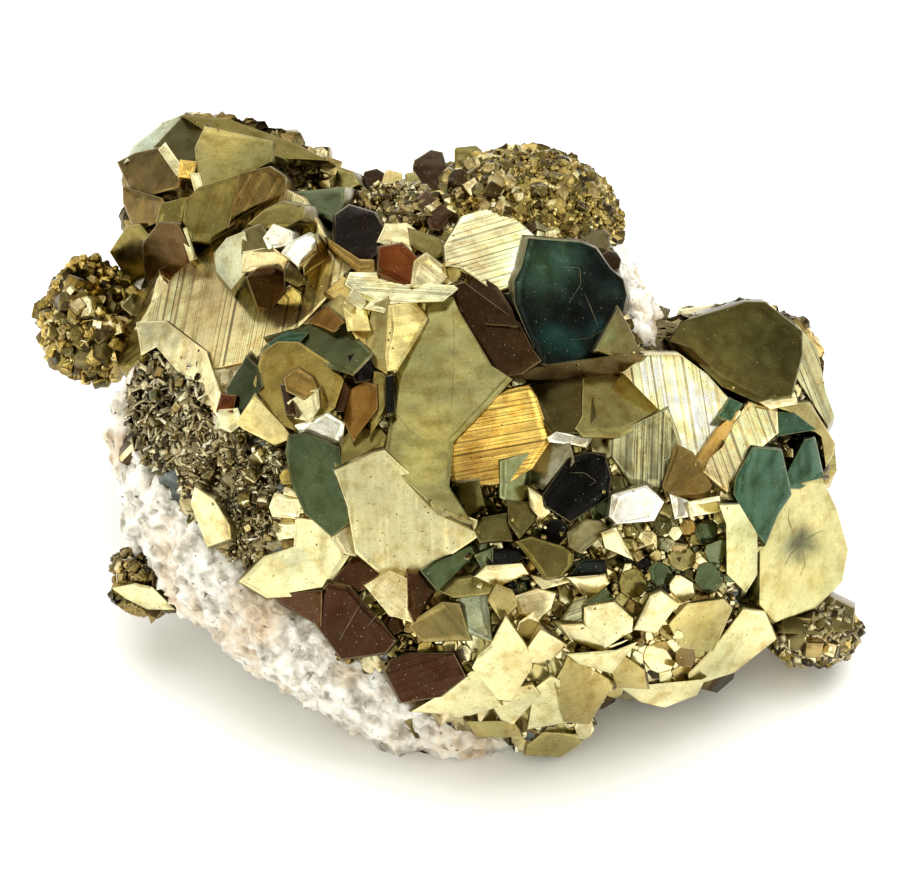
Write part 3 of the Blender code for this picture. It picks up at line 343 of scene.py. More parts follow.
ball, faces = sphere_grid(QUARTZ_ROWS, QUARTZ_COLUMNS)
view = pillow(ball, QUARTZ_OUTLINE, QUARTZ_MIDDLE, BODY, quartz_sunk, QUARTZ_BACK)
outward = view - np.array([*QUARTZ_MIDDLE, BODY[4]])
outward /= np.linalg.norm(outward, axis=1)[:, None]
view = view + outward * lumps(view, 0.5)[:, None]
points = in_space(*view.T)
normals = vertex_normals(points, faces)
coarse, owner = facets(points, QUARTZ_GRAIN, 0.38, 11)
fine, owner = facets(points, QUARTZ_FINE_GRAIN, 0.42, 31)
points = points + normals * (coarse + fine - 0.12)[:, None]
points[:, 2] = np.maximum(points[:, 2], 0)
quartz = mesh_piece("quartz", points, faces)
quartz.data.materials.append(quartz_material())
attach(quartz, "root")
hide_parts("quartz_matrix")

# The pyrite's mass: grey-gold pyrite grown solid against the quartz, rough and granular where no crystal
# face covers it. All the crystals below stand in it, and it fills the joints between them.

PYRITE_MIDDLE = (2.0, 0.0)
PYRITE_BACK = 9.0
MASS_ROWS = 210
MASS_COLUMNS = 320
PYRITE_FLOOR = 0.5
BACK_GROUP = (-19.0, 20.0, 10.0, 9.0, -17.5, 0.2, 7.0)
KNOB = (-30.0, 10.3, 4.6, 5.6, -17.0, 0.2, 6.0)
DOME = (6.0, 18.0, 8.6, 7.0, -9.5, 0.3, 8.0)
ROUND_CRYSTAL = (-14.9, 15.7, 4.8, 4.6, -5.6, 0.2, 6.0)
RIGHT_CRYSTAL = (24.5, 7.2, 7.4, 5.2, -5.0, 0.2, 6.5)
NODULE = (30.0, -15.7, 4.2, 2.9, -5.5, 0.0, 4.0)
CORNER = (-25.0, -11.8, 3.6, 3.0, -6.0, 0.2, 4.5)
# Rounded masses under groups of crystals: how far short of the swell each stops, and its share of the width
MASSES = [(BACK_GROUP, 2.6, 0.80), (KNOB, 0.7, 0.86), (DOME, 0.3, 0.96), (ROUND_CRYSTAL, 1.9, 0.86),
          (RIGHT_CRYSTAL, 4.4, 0.84), (NODULE, 0.6, 0.92)]
BODY_OUTLINE = [
    (-27, 4), (-26, 9.8), (-22.6, 14.1), (-17.8, 18), (-13.8, 20.6), (-8.5, 21.6), (-3, 22), (0.5, 23.2),
    (5, 23), (10, 21.6), (13, 19), (16.5, 14), (19, 10.5), (26, 10), (30, 7), (31, 1.5), (31, -4),
    (32, -9), (30, -13), (26.5, -16), (21, -19.5), (16.5, -21), (13, -20.5), (10.8, -24), (6, -25.4),
    (0, -24), (-4.5, -20.6), (-11, -16), (-17.2, -11.6), (-21, -7.5), (-25.5, -1.5),
]


def daylight(red, green, blue):
    """A colour read on a scale to 255, as the shader's light values."""
    share = np.array([red, green, blue]) / 255
    return np.where(share < 0.04045, share / 12.92, ((share + 0.055) / 1.055) ** 2.4)


# Tones of rough and small crystals: how common each is, and its colour as read
# The palest tones stand for glints: painted highlights on small facets that catch the light
ROUGH_TONES = [
    (0.30, (108, 98, 62)), (0.24, (72, 60, 36)), (0.18, (150, 132, 84)), (0.13, (196, 178, 124)),
    (0.09, (44, 36, 26)), (0.06, (236, 224, 178)),
]
DRUSE_TONES = [
    (0.22, (214, 202, 158)), (0.22, (168, 150, 104)), (0.18, (122, 112, 74)), (0.16, (78, 64, 42)),
    (0.16, (255, 246, 210)), (0.06, (92, 98, 72)), (0.04, (206, 156, 66)),
]
SPARKLING_TONES = [
    (0.24, (118, 110, 84)), (0.18, (64, 57, 42)), (0.24, (158, 148, 118)), (0.16, (206, 198, 166)),
    (0.12, (255, 252, 236)), (0.06, (104, 112, 114)),
]
GOLD_TONES = [
    (0.28, (148, 130, 74)), (0.22, (104, 90, 50)), (0.18, (188, 166, 98)), (0.12, (226, 204, 132)),
    (0.10, (62, 52, 32)), (0.10, (250, 238, 184)),
]


def drawn_tones(tones, share):
    """The tone of each number from 0 to 1, where the tones lie in a row, each as long as it is common."""
    edges = np.cumsum([weight for weight, tone in tones])
    table = np.array([daylight(*tone) for weight, tone in tones])
    return table[np.minimum(np.searchsorted(edges / edges[-1], share), len(tones) - 1)]


def pyrite_sunk(across, up):
    """How far the pyrite's mass lies under the swell: just under its faces, deep under the quartz."""
    band = np.clip(-past_edge(across, up) - 2.0, 0, 3) * 2.5
    bare = 7.0 * np.exp(-(((across - 16) / 2.6) ** 2 + ((up - 13.5) / 5.0) ** 2) ** 2)
    return 1.7 + band + bare


def swell_body(swell, sunk, width_share, rows, columns):
    """A rounded mass that stops a little short of a swell, and reaches back past its rim."""
    centre_across, centre_up, half_width, half_height, rim, lean, bulge = swell
    ball, faces = sphere_grid(rows, columns)
    across = centre_across + ball[:, 0] * half_width * width_share
    up = centre_up + ball[:, 1] * half_height * width_share
    level = rim - lean * (up - centre_up)
    forward = np.maximum(swell_depth(swell, across, up) - sunk - 0.6 - level, 0.3)
    forward = forward * eased(ball[:, 2] / ROUNDED_RIM)
    out = level + np.where(ball[:, 2] > 0, forward, ball[:, 2] * min(half_width, 8.0))
    return seen_at(across, up, out), faces


def rough_crust(points, faces, size, tones, channel):
    """Breaks a smooth body into facets of two sizes, and gives each facet a tone of its own."""
    normals = vertex_normals(points, faces)
    middles = np.concatenate([points[f].mean(axis=1) for f in faces])
    coarse, owner = facets(points, size * 2.4, 0.4, channel)
    fine, owner = facets(points, size, 0.55, channel + 20)
    points = points + normals * (coarse + fine - 0.2 * size)[:, None]
    way, owner = grains(middles, size * 2.4, channel)
    return points, drawn_tones(tones, chance(owner, channel + 50))


def pyrite_material(name, mottle=0.17):
    """Bare metallic sulphide: the face's shade and its painted light and reflection, clouded by tarnish,
    with pits and dust.
    """
    material, tree, shader, place = node_material(name)
    shade = tree.nodes.new("ShaderNodeAttribute")
    shade.attribute_name = "shade"
    gloss = tree.nodes.new("ShaderNodeAttribute")
    gloss.attribute_name = "gloss"
    low = 1 - mottle
    high = 1 + mottle * 0.6
    cloud = ramp(tree, noise(tree, place, 1.5, 6.0), (0.36, (low * 0.94, low * 0.84, low * 0.66)),
                 (0.50, (0.98, 0.97, 0.94)), (0.72, (high, high, high)))
    # painted light: each point's attribute of painted reflection, light and shade, with some tarnish, scales
    # the colour
    tint_and_painted_light = tree.nodes.new("ShaderNodeAttribute")
    tint_and_painted_light.attribute_name = "tint_and_painted_light"
    changed = blend_colours(tree, 1.0, tint_and_painted_light.outputs["Color"], (1, 1, 1, 1), "ADD")
    own = blend_colours(tree, 1.0, shade.outputs["Color"], changed, "MULTIPLY")
    clouded = blend_colours(tree, 1.0, own, cloud, "MULTIPLY")
    tarnish = ramp(tree, noise(tree, place, 5.0, 2.0), (0.35, (1.08, 1.02, 0.90)),
                   (0.65, (0.90, 0.92, 0.88)))
    tinted = blend_colours(tree, 1.0, clouded, tarnish, "MULTIPLY")
    speckle = ramp(tree, noise(tree, place, 0.34, 5.0, 0.75), (0.34, (0.88, 0.87, 0.85)),
                   (0.62, (1.05, 1.05, 1.06)))
    speckled = blend_colours(tree, 1.0, tinted, speckle, "MULTIPLY")
    pits = ramp(tree, noise(tree, place, 0.22, 2.0), (0.27, (1, 1, 1)), (0.33, (0, 0, 0)))
    pitted = blend_colours(tree, pits, speckled, (0.05, 0.04, 0.02, 1))
    dust = ramp(tree, noise(tree, place, 0.15, 1.0), (0.735, (0, 0, 0)), (0.78, (0.7, 0.7, 0.7)))
    dusted = blend_colours(tree, dust, pitted, (0.62, 0.60, 0.48, 1))
    tree.links.new(dusted, shader.inputs["Base Color"])
    shader.inputs["Metallic"].default_value = 1.0
    haze = calculate(tree, "MULTIPLY_ADD", noise(tree, place, 0.9), 0.16, -0.08)
    tree.links.new(calculate(tree, "ADD", gloss.outputs["Fac"], haze), shader.inputs["Roughness"])
    fine = noise(tree, place, 0.16, 3.0, 0.55)
    wave = calculate(tree, "MULTIPLY_ADD", noise(tree, place, 2.6, 1.0), 20.0, fine)
    raise_by(tree, shader, wave, 0.008)
    return material


pyrite = pyrite_material("pyrite")


def joined(parts):
    """Joins parts, each of them points, face sets, shades and glosses, into one such part."""
    start = np.cumsum([0] + [len(part[0]) for part in parts])
    points = np.concatenate([part[0] for part in parts])
    widths = sorted({faces.shape[1] for part in parts for faces in part[1]})
    sets = []
    shades = []
    glosses = []
    for width in widths:
        for offset, (part_points, part_sets, part_shades, part_glosses) in zip(start, parts):
            passed = 0
            for faces in part_sets:
                if faces.shape[1] == width:
                    sets.append(faces + offset)
                    shades.append(part_shades[passed:passed + len(faces)])
                    glosses.append(part_glosses[passed:passed + len(faces)])
                passed += len(faces)
    return points, sets, np.concatenate(shades), np.concatenate(glosses)


# The crystal faces: the ends of cubes and pyritohedra that grew against each other, each one flat and
# bright, with fine growth lines on many. Each is read as its outline in the view, its finish (its colour
# holds painted reflection as well as tarnish), its growth lines (their angle, spacing and depth), the swell
# it stands on, how it faces and how far it stands out.

BLOCK_DEPTH = 4.6
BLOCK_FLARE = 0.14
SLOPE_KEPT = 0.85
STEEPEST = 1.05
SETTLED = 0.4
EDGE_WIDTH = 0.09
EDGE_DROP = 0.07
# the paler colour of the narrow edge round each face: wear and a painted highlight where the edge catches
# light
WORN_AND_HIGHLIT_EDGE = daylight(214, 200, 150)
LINE_TILT = 0.20
ALONG_LINES = 0.9
FLAT_SPACING = 0.6
MEETING = 0.38
CLEAR_OF_TABLE = 0.3

# Clouds of tarnish and of painted light and shade on the faces: place across and up, reach, and how much
# each colour changes
CLOUDS = [
    (7.8, 14.6, 2.1, (4.2, 7.2, 4.8)), (9.6, 15.8, 1.5, (2.6, 5.0, 4.0)),
    (8.6, 8.8, 1.0, (1.2, 4.5, 4.2)), (10.4, 8.2, 0.9, (1.0, 3.6, 3.4)),
    (12.6, 9.6, 0.8, (0.8, 3.0, 3.2)), (13.4, 12.6, 0.8, (1.5, 2.5, 2.4)),
    (-2.2, 7.0, 2.4, (-0.2, -0.2, -0.25)), (-1.6, 0.2, 2.2, (0.35, 0.28, 0.05)),
    (-2.6, -2.2, 1.6, (0.4, 0.4, 0.3)), (5.2, 2.0, 1.6, (0.35, 0.30, 0.2)),
    (2.0, -1.6, 1.7, (-0.2, -0.3, -0.35)), (4.2, 0.4, 1.1, (0.3, 0.25, 0.1)),
    (-13.0, -9.8, 0.8, (-0.35, -0.32, -0.25)), (-20.0, 12.0, 3.2, (-0.28, -0.32, -0.36)),
    (-14.0, 11.0, 2.0, (-0.18, -0.2, -0.3)), (-12.0, 17.6, 1.5, (0.2, 0.15, 0.1)),
    (20.4, 3.4, 3.0, (1.45, 1.32, 0.98)), (17.0, 6.0, 1.8, (0.8, 0.75, 0.6)),
    (25.0, 0.4, 2.0, (0.45, 0.42, 0.35)), (29.5, -9.0, 4.6, (-0.20, -0.20, -0.26)),
    (30.8, -11.6, 1.1, (-0.15, -0.17, -0.28)), (27.6, -12.0, 1.0, (-0.16, -0.19, -0.30)),
    (22.4, -17.4, 4.4, (-0.18, -0.19, -0.26)), (6.5, -19.5, 4.6, (-0.17, -0.19, -0.26)),
    (11.0, -21.0, 2.4, (-0.1, -0.14, -0.22)), (13.2, -15.0, 1.6, (-0.1, -0.1, -0.14)),
    (20.8, -15.2, 1.7, (-0.16, -0.19, -0.30)), (23.8, -7.6, 1.6, (-0.2, -0.16, -0.2)),
    (-24.0, 8.6, 1.4, (-0.18, -0.16, -0.14)), (-20.0, 5.0, 1.3, (-0.12, -0.1, -0.08)),
    (24.0, 9.6, 2.4, (0.12, 0.18, 0.02)), (27.4, 7.4, 1.8, (-0.25, -0.2, -0.2)),
    (-18.6, 25.0, 1.6, (0.35, 0.3, 0.1)), (28.7, -8.5, 0.8, (-0.6, -0.58, -0.52)),
    (29.5, -7.6, 0.9, (-0.65, -0.62, -0.56)), (30.3, -8.6, 0.6, (-0.45, -0.42, -0.38)),
    (29.0, -9.6, 0.6, (-0.4, -0.38, -0.34)), (30.4, -6.4, 1.2, (0.2, 0.2, 0.2)),
    (-11.6, -2.4, 1.6, (0.25, 0.22, 0.15)), (3.4, 16.4, 1.8, (-0.1, -0.12, -0.2)),
]

# Finishes: colour as read, roughness, how uneven the shade is from one growth layer to the next
# The colours are the faces' tarnish together with painted reflection: each face is as light or dark as what
# it mirrors, so white_hot is a painted reflection of the bright tent and ink one of the dark side.
FINISHES_WITH_PAINTED_REFLECTIONS = {
    "pale_gold": ((246, 232, 180), 0.22, 0.24), "cream": ((230, 220, 178), 0.20, 0.05),
    "pale_grey": ((190, 194, 168), 0.28, 0.10), "white": ((255, 254, 244), 0.10, 0.04),
    "dark_brown": ((62, 44, 28), 0.20, 0.15), "grey": ((138, 136, 116), 0.24, 0.18),
    "bright": ((255, 247, 206), 0.16, 0.26), "olive": ((126, 116, 68), 0.18, 0.08),
    "olive_rough": ((112, 104, 66), 0.42, 0.30), "khaki": ((160, 151, 98), 0.20, 0.05),
    "khaki_big": ((150, 145, 98), 0.20, 0.03), "dark_olive": ((84, 80, 48), 0.22, 0.12),
    "mint_white": ((222, 232, 214), 0.22, 0.06), "umber": ((116, 98, 58), 0.18, 0.12),
    "umber_dark": ((96, 76, 50), 0.24, 0.12), "umber_green": ((78, 70, 40), 0.26, 0.12),
    "umber_gold": ((128, 94, 46), 0.24, 0.14), "sage": ((98, 108, 82), 0.20, 0.08),
    "sage_dark": ((66, 74, 52), 0.20, 0.08), "plum": ((36, 28, 25), 0.12, 0.08),
    "amber": ((146, 120, 66), 0.20, 0.15), "red_brown": ((104, 56, 28), 0.20, 0.12),
    "brown": ((76, 52, 34), 0.16, 0.12), "ink": ((26, 30, 30), 0.08, 0.10),
    "dusty": ((92, 78, 52), 0.34, 0.20), "black": ((28, 28, 28), 0.14, 0.10),
    "crumpled": ((222, 196, 122), 0.22, 0.20), "tan": ((172, 160, 108), 0.28, 0.12),
    "gold_bright": ((244, 226, 158), 0.20, 0.25), "moss": ((84, 90, 62), 0.20, 0.08),
    "old_gold": ((158, 140, 78), 0.18, 0.04), "gold_pale": ((222, 206, 146), 0.24, 0.12),
    "green": ((72, 84, 60), 0.18, 0.06), "gold": ((242, 204, 112), 0.16, 0.28),
    "mint": ((140, 150, 112), 0.22, 0.08), "steel": ((166, 164, 130), 0.18, 0.28),
    "cream_gold": ((242, 230, 184), 0.18, 0.26), "teal": ((62, 90, 74), 0.14, 0.05),
    "dark_olive_mirror": ((86, 80, 46), 0.14, 0.03), "cream_flat": ((224, 219, 176), 0.28, 0.04),
    "choco": ((60, 40, 28), 0.14, 0.12), "olive_grey": ((122, 118, 88), 0.26, 0.10),
    "white_cream": ((230, 226, 186), 0.24, 0.06), "glassy": ((138, 144, 122), 0.14, 0.10),
    "orange_tan": ((144, 130, 84), 0.28, 0.20), "tan_cream": ((190, 180, 128), 0.26, 0.05),
    "cream_crack": ((202, 196, 146), 0.28, 0.04), "mint_cream": ((212, 212, 168), 0.24, 0.04),
    "white_hot": ((255, 255, 250), 0.12, 0.02),
}

CRYSTAL_FACES = [
    # great striated face and the pale edge under it
    ("pale_gold", (79, 0.34, 0.9), BODY, 0.05, 0.15, 0.6, [(-25.9, 9.8), (-22.6, 14.1), (-17.8, 17.9),
     (-13.8, 20.9), (-12.4, 20.2), (-10.2, 16.4), (-8.5, 14.7), (-10.1, 12.7), (-12.6, 10.2),
     (-16.5, 7.3), (-19.4, 6.6), (-22, 9.3)]),
    ("cream", None, BODY, 0.1, -0.35, 0.9, [(-25.9, 9.9), (-23.5, 9.9), (-20.6, 7.5), (-19.4, 4.5),
     (-19.2, 2.2), (-20.2, 3.2), (-21.6, 6.5), (-23.5, 8.3), (-25.4, 7.3)]),
    # round crystal that stands on the striated face
    ("pale_grey", None, ROUND_CRYSTAL, -0.3, 0.1, 0.4, [(-19.3, 15.8), (-18.5, 16.8), (-17.3, 17.4),
     (-17, 16), (-17.3, 14.6), (-18.2, 13.2), (-19.2, 14.6)]),
    ("white", None, ROUND_CRYSTAL, 0.1, 0.3, 0.5, [(-15.2, 17.2), (-14.6, 18), (-13.6, 17.6),
     (-13.4, 16.8), (-14.9, 16.5)]),
    ("white", None, ROUND_CRYSTAL, 0.3, 0, 0.5, [(-13.7, 16), (-13.2, 16.6), (-12.2, 17.1),
     (-11.5, 16.9), (-11.4, 16.1), (-12.6, 15.1)]),
    ("dark_brown", None, ROUND_CRYSTAL, -0.1, -0.3, 0.6, [(-16.6, 13.8), (-15.9, 14.3), (-14.8, 14.5),
     (-14.1, 14.2), (-14.1, 12.9), (-15, 11.5), (-15.9, 11.7)]),
    ("grey", (60, 0.4, 0.7), ROUND_CRYSTAL, 0.1, -0.2, 0.4, [(-14, 14.7), (-13.4, 14.8), (-12.4, 13.9),
     (-12.8, 13.4), (-14, 14)]),
    ("bright", None, ROUND_CRYSTAL, 0.1, -0.5, 0.5, [(-14.2, 12.3), (-13.4, 12.9), (-12.6, 12.4),
     (-13, 11.6), (-14, 11.3)]),
    ("olive", None, ROUND_CRYSTAL, 0, 0.4, 0.3, [(-16.5, 18.4), (-15.1, 19.4), (-14, 19.9),
     (-12.4, 19.7), (-12.5, 18.9), (-13.8, 18.4), (-15, 18.2)]),
    ("tan", None, ROUND_CRYSTAL, 0.4, 0, 0.2, [(-12, 15.1), (-11.3, 17), (-10.7, 16.3), (-10.4, 15.6),
     (-12, 14.4)]),
    ("olive_rough", None, ROUND_CRYSTAL, -0.2, 0.3, 0.3, [(-17.1, 16.2), (-17, 17.6), (-15.9, 18),
     (-15.3, 17.1), (-15, 16.3)]),
    ("cream", None, ROUND_CRYSTAL, -0.2, -0.1, 0.5, [(-17, 14.5), (-16.9, 15.9), (-15, 16.1),
     (-13.9, 15.4), (-14.2, 14.7)]),
    # group of crystals at the back on the left
    ("khaki", None, BACK_GROUP, 0.1, 0.4, 0.6, [(-20.9, 24.6), (-20.2, 26.2), (-15.1, 25.1),
     (-15.2, 23.6), (-18.3, 22.2), (-20.7, 21)]),
    ("dark_olive", None, BACK_GROUP, -0.1, 0.2, 0.8, [(-24.3, 24.8), (-22, 27.3), (-20.2, 26.3),
     (-21, 24.4), (-21.3, 22.7), (-22.2, 22.9)]),
    ("mint_white", None, BACK_GROUP, -0.3, 0.6, 0.6, [(-26.9, 23.6), (-26, 25), (-24, 26.6),
     (-22.2, 27.4), (-24.4, 24.9), (-26, 24.1)]),
    ("olive", (-17, 0.5, 0.5), BACK_GROUP, 0.1, 0.7, 0.2, [(-22, 27.3), (-18, 26.8), (-13, 25),
     (-10.5, 23.7), (-14.2, 24), (-20, 26)]),
    ("umber", None, BACK_GROUP, -0.3, -0.1, 1, [(-27.4, 23.4), (-26, 24), (-23.9, 24.5), (-22.6, 22.9),
     (-22.9, 21.6), (-24.8, 21.1), (-26.4, 21.4)]),
    ("olive", (70, 0.6, 0.5), BACK_GROUP, 0.1, -0.1, 1.2, [(-21.9, 18.5), (-21.7, 20.2), (-20.7, 21.1),
     (-17.3, 22.4), (-17, 20.3), (-18.2, 18.3), (-20, 17.2), (-21.3, 17.2)]),
    ("umber", (60, 0.5, 0.6), BACK_GROUP, 0.4, -0.1, 0.8, [(-17.3, 22.3), (-15.2, 22.8), (-14, 22.1),
     (-14, 21), (-17, 19.4), (-18.2, 18.5)]),
    ("umber", None, BACK_GROUP, -0.4, -0.2, 0.7, [(-27, 21.2), (-24.3, 20.3), (-23.8, 19.5),
     (-24, 18.9), (-26.1, 18), (-26.9, 20)]),
    ("olive", None, BACK_GROUP, 0.2, -0.1, 0.7, [(-23.8, 19.8), (-21.9, 20.4), (-22.6, 18.3),
     (-24.2, 18.6)]),
    ("umber_dark", None, BACK_GROUP, -0.1, -0.4, 1.2, [(-25.3, 16.6), (-24.2, 18.1), (-22.8, 18.1),
     (-21.4, 15.2), (-23, 13), (-24.8, 13.2), (-25.2, 15)]),
    ("olive", None, BACK_GROUP, -0.5, -0.2, 0.7, [(-28, 16), (-26.8, 17.9), (-26, 18), (-25.2, 17),
     (-25.2, 14.5), (-26.4, 13.8), (-27.2, 14.8)]),
    ("khaki", None, DOME, -0.3, 0.3, 0.2, [(-13.3, 20.9), (-12.3, 22.3), (-10.8, 23.3), (-8.5, 22.6),
     (-7.9, 21.7), (-9.2, 21.1)]),
    ("sage", None, BODY, 0.2, 0.3, -0.2, [(-13.2, 20.9), (-8.3, 21.3), (-9.2, 20.1), (-9.9, 18.8),
     (-12.2, 20)]),
    # crystals along the top, left of the striated wedge
    ("plum", None, BODY, -0.1, -0.2, 0.9, [(-9.3, 18.9), (-8.3, 19.6), (-6.5, 19), (-5.9, 18),
     (-5.9, 16.5), (-7, 15.5), (-8, 15.6), (-9.3, 16.6)]),
    ("amber", None, BODY, -0.3, -0.5, 0.5, [(-10, 17), (-7.9, 15.5), (-6.7, 15.4), (-6.6, 14.6),
     (-7.8, 14.6), (-9.7, 16.2)]),
    ("red_brown", None, BODY, 0.1, -0.2, 1.3, [(-5.6, 16.2), (-4, 16.4), (-2.8, 15.2), (-2.7, 14.2),
     (-3.5, 13.3), (-5.7, 14.4)]),
    ("cream", None, BODY, 0, 0.5, 0.8, [(-5.7, 16.9), (-5.1, 18.1), (-3.7, 18.1), (-3.2, 17.7),
     (-2.9, 16.6), (-3.3, 16), (-4.2, 16.5)]),
    ("olive", None, BODY, 0.5, 0.2, 0.7, [(-3.2, 17.8), (-1.2, 17), (-0.7, 16), (-1.5, 15.7),
     (-2.9, 16.6)]),
    ("cream", (-40, 0.35, 0.9), BODY, 0.4, -0.3, 0.9, [(-2.7, 15), (-1.9, 15.6), (-0.7, 14.6),
     (-0.5, 14), (-1.2, 13.3), (-3, 13.3)]),
    ("brown", (-58, 0.3, 1), BODY, 0.3, -0.1, 0.9, [(-2.5, 20.2), (-1.9, 20.8), (-0.2, 19.3),
     (-1, 18.1), (-1.6, 18.3)]),
    # small bright and coloured bits in the joints
    ("teal", None, BODY, 0.1, 0.3, 1.25, [(-14.9, 8.4), (-13.6, 9.1), (-12.2, 9.1), (-12.9, 8.5),
     (-14.2, 8.1)]),
    ("teal", None, BODY, 0.1, 0.3, 1.9, [(22.6, 2.4), (23.3, 3.5), (24.1, 3.2), (23.4, 2.3)]),
    ("red_brown", None, BODY, -0.2, 0.2, 1.3, [(-19.2, 3.0), (-18.9, 3.9), (-18.1, 3.8), (-18.3, 2.9)]),
    ("white_cream", None, BODY, -0.1, -0.2, 1.3, [(-19.1, 1.6), (-19.0, 2.6), (-17.9, 2.7),
     (-17.6, 1.8), (-18.3, 1.3)]),
    ("white_cream", None, BACK_GROUP, 0.2, 0.3, 1.3, [(-24.0, 24.3), (-22.9, 22.7), (-22.5, 23.2),
     (-23.6, 24.8)]),
    ("gold", None, BACK_GROUP, 0.3, 0.1, 1.4, [(-22.4, 22.5), (-22.3, 23.4), (-21.5, 23.3),
     (-21.6, 22.4)]),
    ("white_cream", None, BACK_GROUP, 0.3, 0.1, 1.4, [(-21.5, 22.3), (-20.9, 22.2), (-20.6, 20.9),
     (-21.1, 20.7)]),
    ("white_cream", None, BACK_GROUP, 0.3, 0.1, 1.4, [(-22.4, 17.6), (-21.9, 17.7), (-21.3, 15.8),
     (-21.7, 15.5)]),
    ("white_cream", None, DOME, -0.2, 0.4, 0.9, [(-15.3, 23.6), (-14.4, 23.6), (-13.9, 22.7),
     (-14.9, 22.4)]),
    ("ink", None, BODY, 0.5, 0.1, 1.7, [(-5.3, 5.3), (-4.8, 5.4), (-4.7, 2.9), (-5.2, 2.8)]),
    # striated wedge, and the great dark crystal beside it
    ("bright", (16, 0.40, 1), BODY, 0.1, 0.15, 1, [(0, 15), (-0.1, 16.5), (1.3, 18.7), (3.9, 19.6),
     (6, 17.9), (6.9, 17.1), (5.7, 14.9), (5.5, 13.6), (3.7, 13), (1.4, 14.8)]),
    ("ink", None, BODY, 0.25, -0.25, 3, [(6.7, 16.9), (10.8, 16.5), (12, 16), (13.1, 14.4),
     (14.1, 13.6), (14.4, 12.4), (14.1, 10.9), (12.5, 7.9), (11.4, 7.4), (7.8, 6.8), (6.4, 10.1),
     (5.7, 11.9), (5.65, 13.5), (6.2, 14.6)]),
    ("olive_rough", None, BODY, 0.9, -0.4, 2, [(12.5, 8), (14.1, 11), (14.8, 9.2), (15.6, 7.8),
     (14.2, 7.4)]),
    ("dusty", None, BODY, 0.1, -1.1, 1.6, [(5, 5.6), (6.4, 6.3), (11, 6.7), (15, 7.6), (16, 7.3),
     (14.9, 6), (10.5, 5.7), (7.5, 5.4)]),
    ("dark_brown", None, BODY, -0.7, 0.3, 1.4, [(1.4, 14.6), (3.8, 12.8), (4.9, 11.3), (5.4, 10),
     (3, 10.3), (2, 12)]),
    ("dark_brown", None, BODY, -0.6, -0.2, 1.5, [(0.1, 12.8), (1.3, 13.2), (2.8, 10.2), (5.5, 9.9),
     (6.4, 8.2), (7.3, 7.1), (5.8, 6.1), (4.3, 5.8), (3.1, 6.2), (1.8, 9)]),
    ("black", None, BODY, -0.8, 0, 2, [(4.3, 12.3), (5.6, 12.2), (6.2, 10.9), (7.8, 6.9), (7, 7.2),
     (5.6, 9.7)]),
    # ledge, broken gold corner and the cones under it
    ("bright", (-3, 0.35, 0.8), BODY, 0, 0.5, 0.9, [(-8.4, 13.3), (-8, 14.2), (-5, 14), (-2.3, 13),
     (0.7, 13.2), (-0.9, 12), (-5, 12), (-7.8, 12.9)]),
    ("crumpled", None, BODY, -0.4, 0.2, 0.6, [(-10, 12.7), (-8.9, 13.6), (-7.9, 12.9), (-8.6, 11.7)]),
    ("bright", None, BODY, 0.3, -0.2, 0.9, [(-8.5, 11.8), (-7.8, 12.9), (-6.5, 12.1), (-7.0, 10.9)]),
    ("tan", None, BODY, -0.5, -0.3, 0.7, [(-10.2, 11.4), (-9.2, 12.1), (-8.3, 11.4), (-9.2, 10.2)]),
    ("gold_bright", None, BODY, 0.1, 0.4, 1.0, [(-8.7, 11.2), (-7.2, 10.9), (-6.9, 9.7), (-8.3, 9.7)]),
    ("umber_gold", None, BODY, -0.6, 0.2, 0.9, [(-11.6, 10.2), (-10.3, 11.2), (-9.2, 10.2), (-9.9, 9.7)]),
    ("crumpled", None, BODY, 0.5, 0.1, 0.8, [(-8.1, 9.6), (-6.9, 9.8), (-6.6, 8.3), (-7.3, 8.2)]),
    ("bright", None, BODY, -0.2, 0.6, 1.1, [(-6.8, 11.4), (-6.1, 12), (-5.3, 11.9), (-5.7, 11.2)]),
    ("tan", None, BODY, -0.3, 0, 1, [(-6.9, 8.3), (-6.3, 11.3), (-5.2, 11.9), (-5, 9.5), (-5.3, 6.2),
     (-6.2, 6.7)]),
    ("gold_bright", None, BODY, 0.4, 0, 1, [(-5.2, 7.5), (-5, 11.2), (-3, 11.5), (-2, 10.2),
     (-4.3, 6.6), (-5.1, 6.4)]),
    # crystals left of the middle
    ("moss", None, BODY, -0.1, 0.5, 1, [(-15, 8.9), (-10.8, 9.8), (-8.8, 9.6), (-6.9, 7.6), (-8, 7.1),
     (-8.4, 6), (-9.9, 6.6), (-12.7, 8.3)]),
    ("black", None, BODY, 0.5, 0.1, 1.1, [(-8.3, 7.2), (-7, 7.6), (-5.8, 6.1), (-6.6, 5.7), (-7.7, 5.4)]),
    ("old_gold", None, BODY, 0, 0.05, 1.6, [(-16, 5), (-15.4, 7.4), (-14.2, 8.2), (-12.6, 8.1),
     (-9.8, 6.3), (-9.2, 5.3), (-9.9, 3.2), (-11.4, 2.1), (-13, 1.6), (-14.4, 2)]),
    ("amber", None, BODY, 0.1, 0.5, 3.4, [(-13.5, 5.4), (-12.6, 6), (-11.8, 5.4), (-11.3, 4.6),
     (-12.3, 4.1), (-13.3, 4.6)]),
    ("cream", None, BODY, 0.1, -0.5, 3.2, [(-13.2, 3.4), (-12.3, 3.9), (-11.2, 4.3), (-11.2, 3.1),
     (-11.7, 2.2), (-12.7, 2.4)]),
    ("dark_brown", None, BODY, -0.5, 0, 3, [(-14, 4.6), (-13.4, 4.6), (-12.9, 2.6), (-13.6, 2.8)]),
    ("sage_dark", None, BODY, -0.5, 0.1, 1.2, [(-18.3, 4.6), (-17.5, 6), (-17, 7), (-16.2, 6.1),
     (-16, 4.8), (-17.6, 2), (-18.2, 2.6)]),
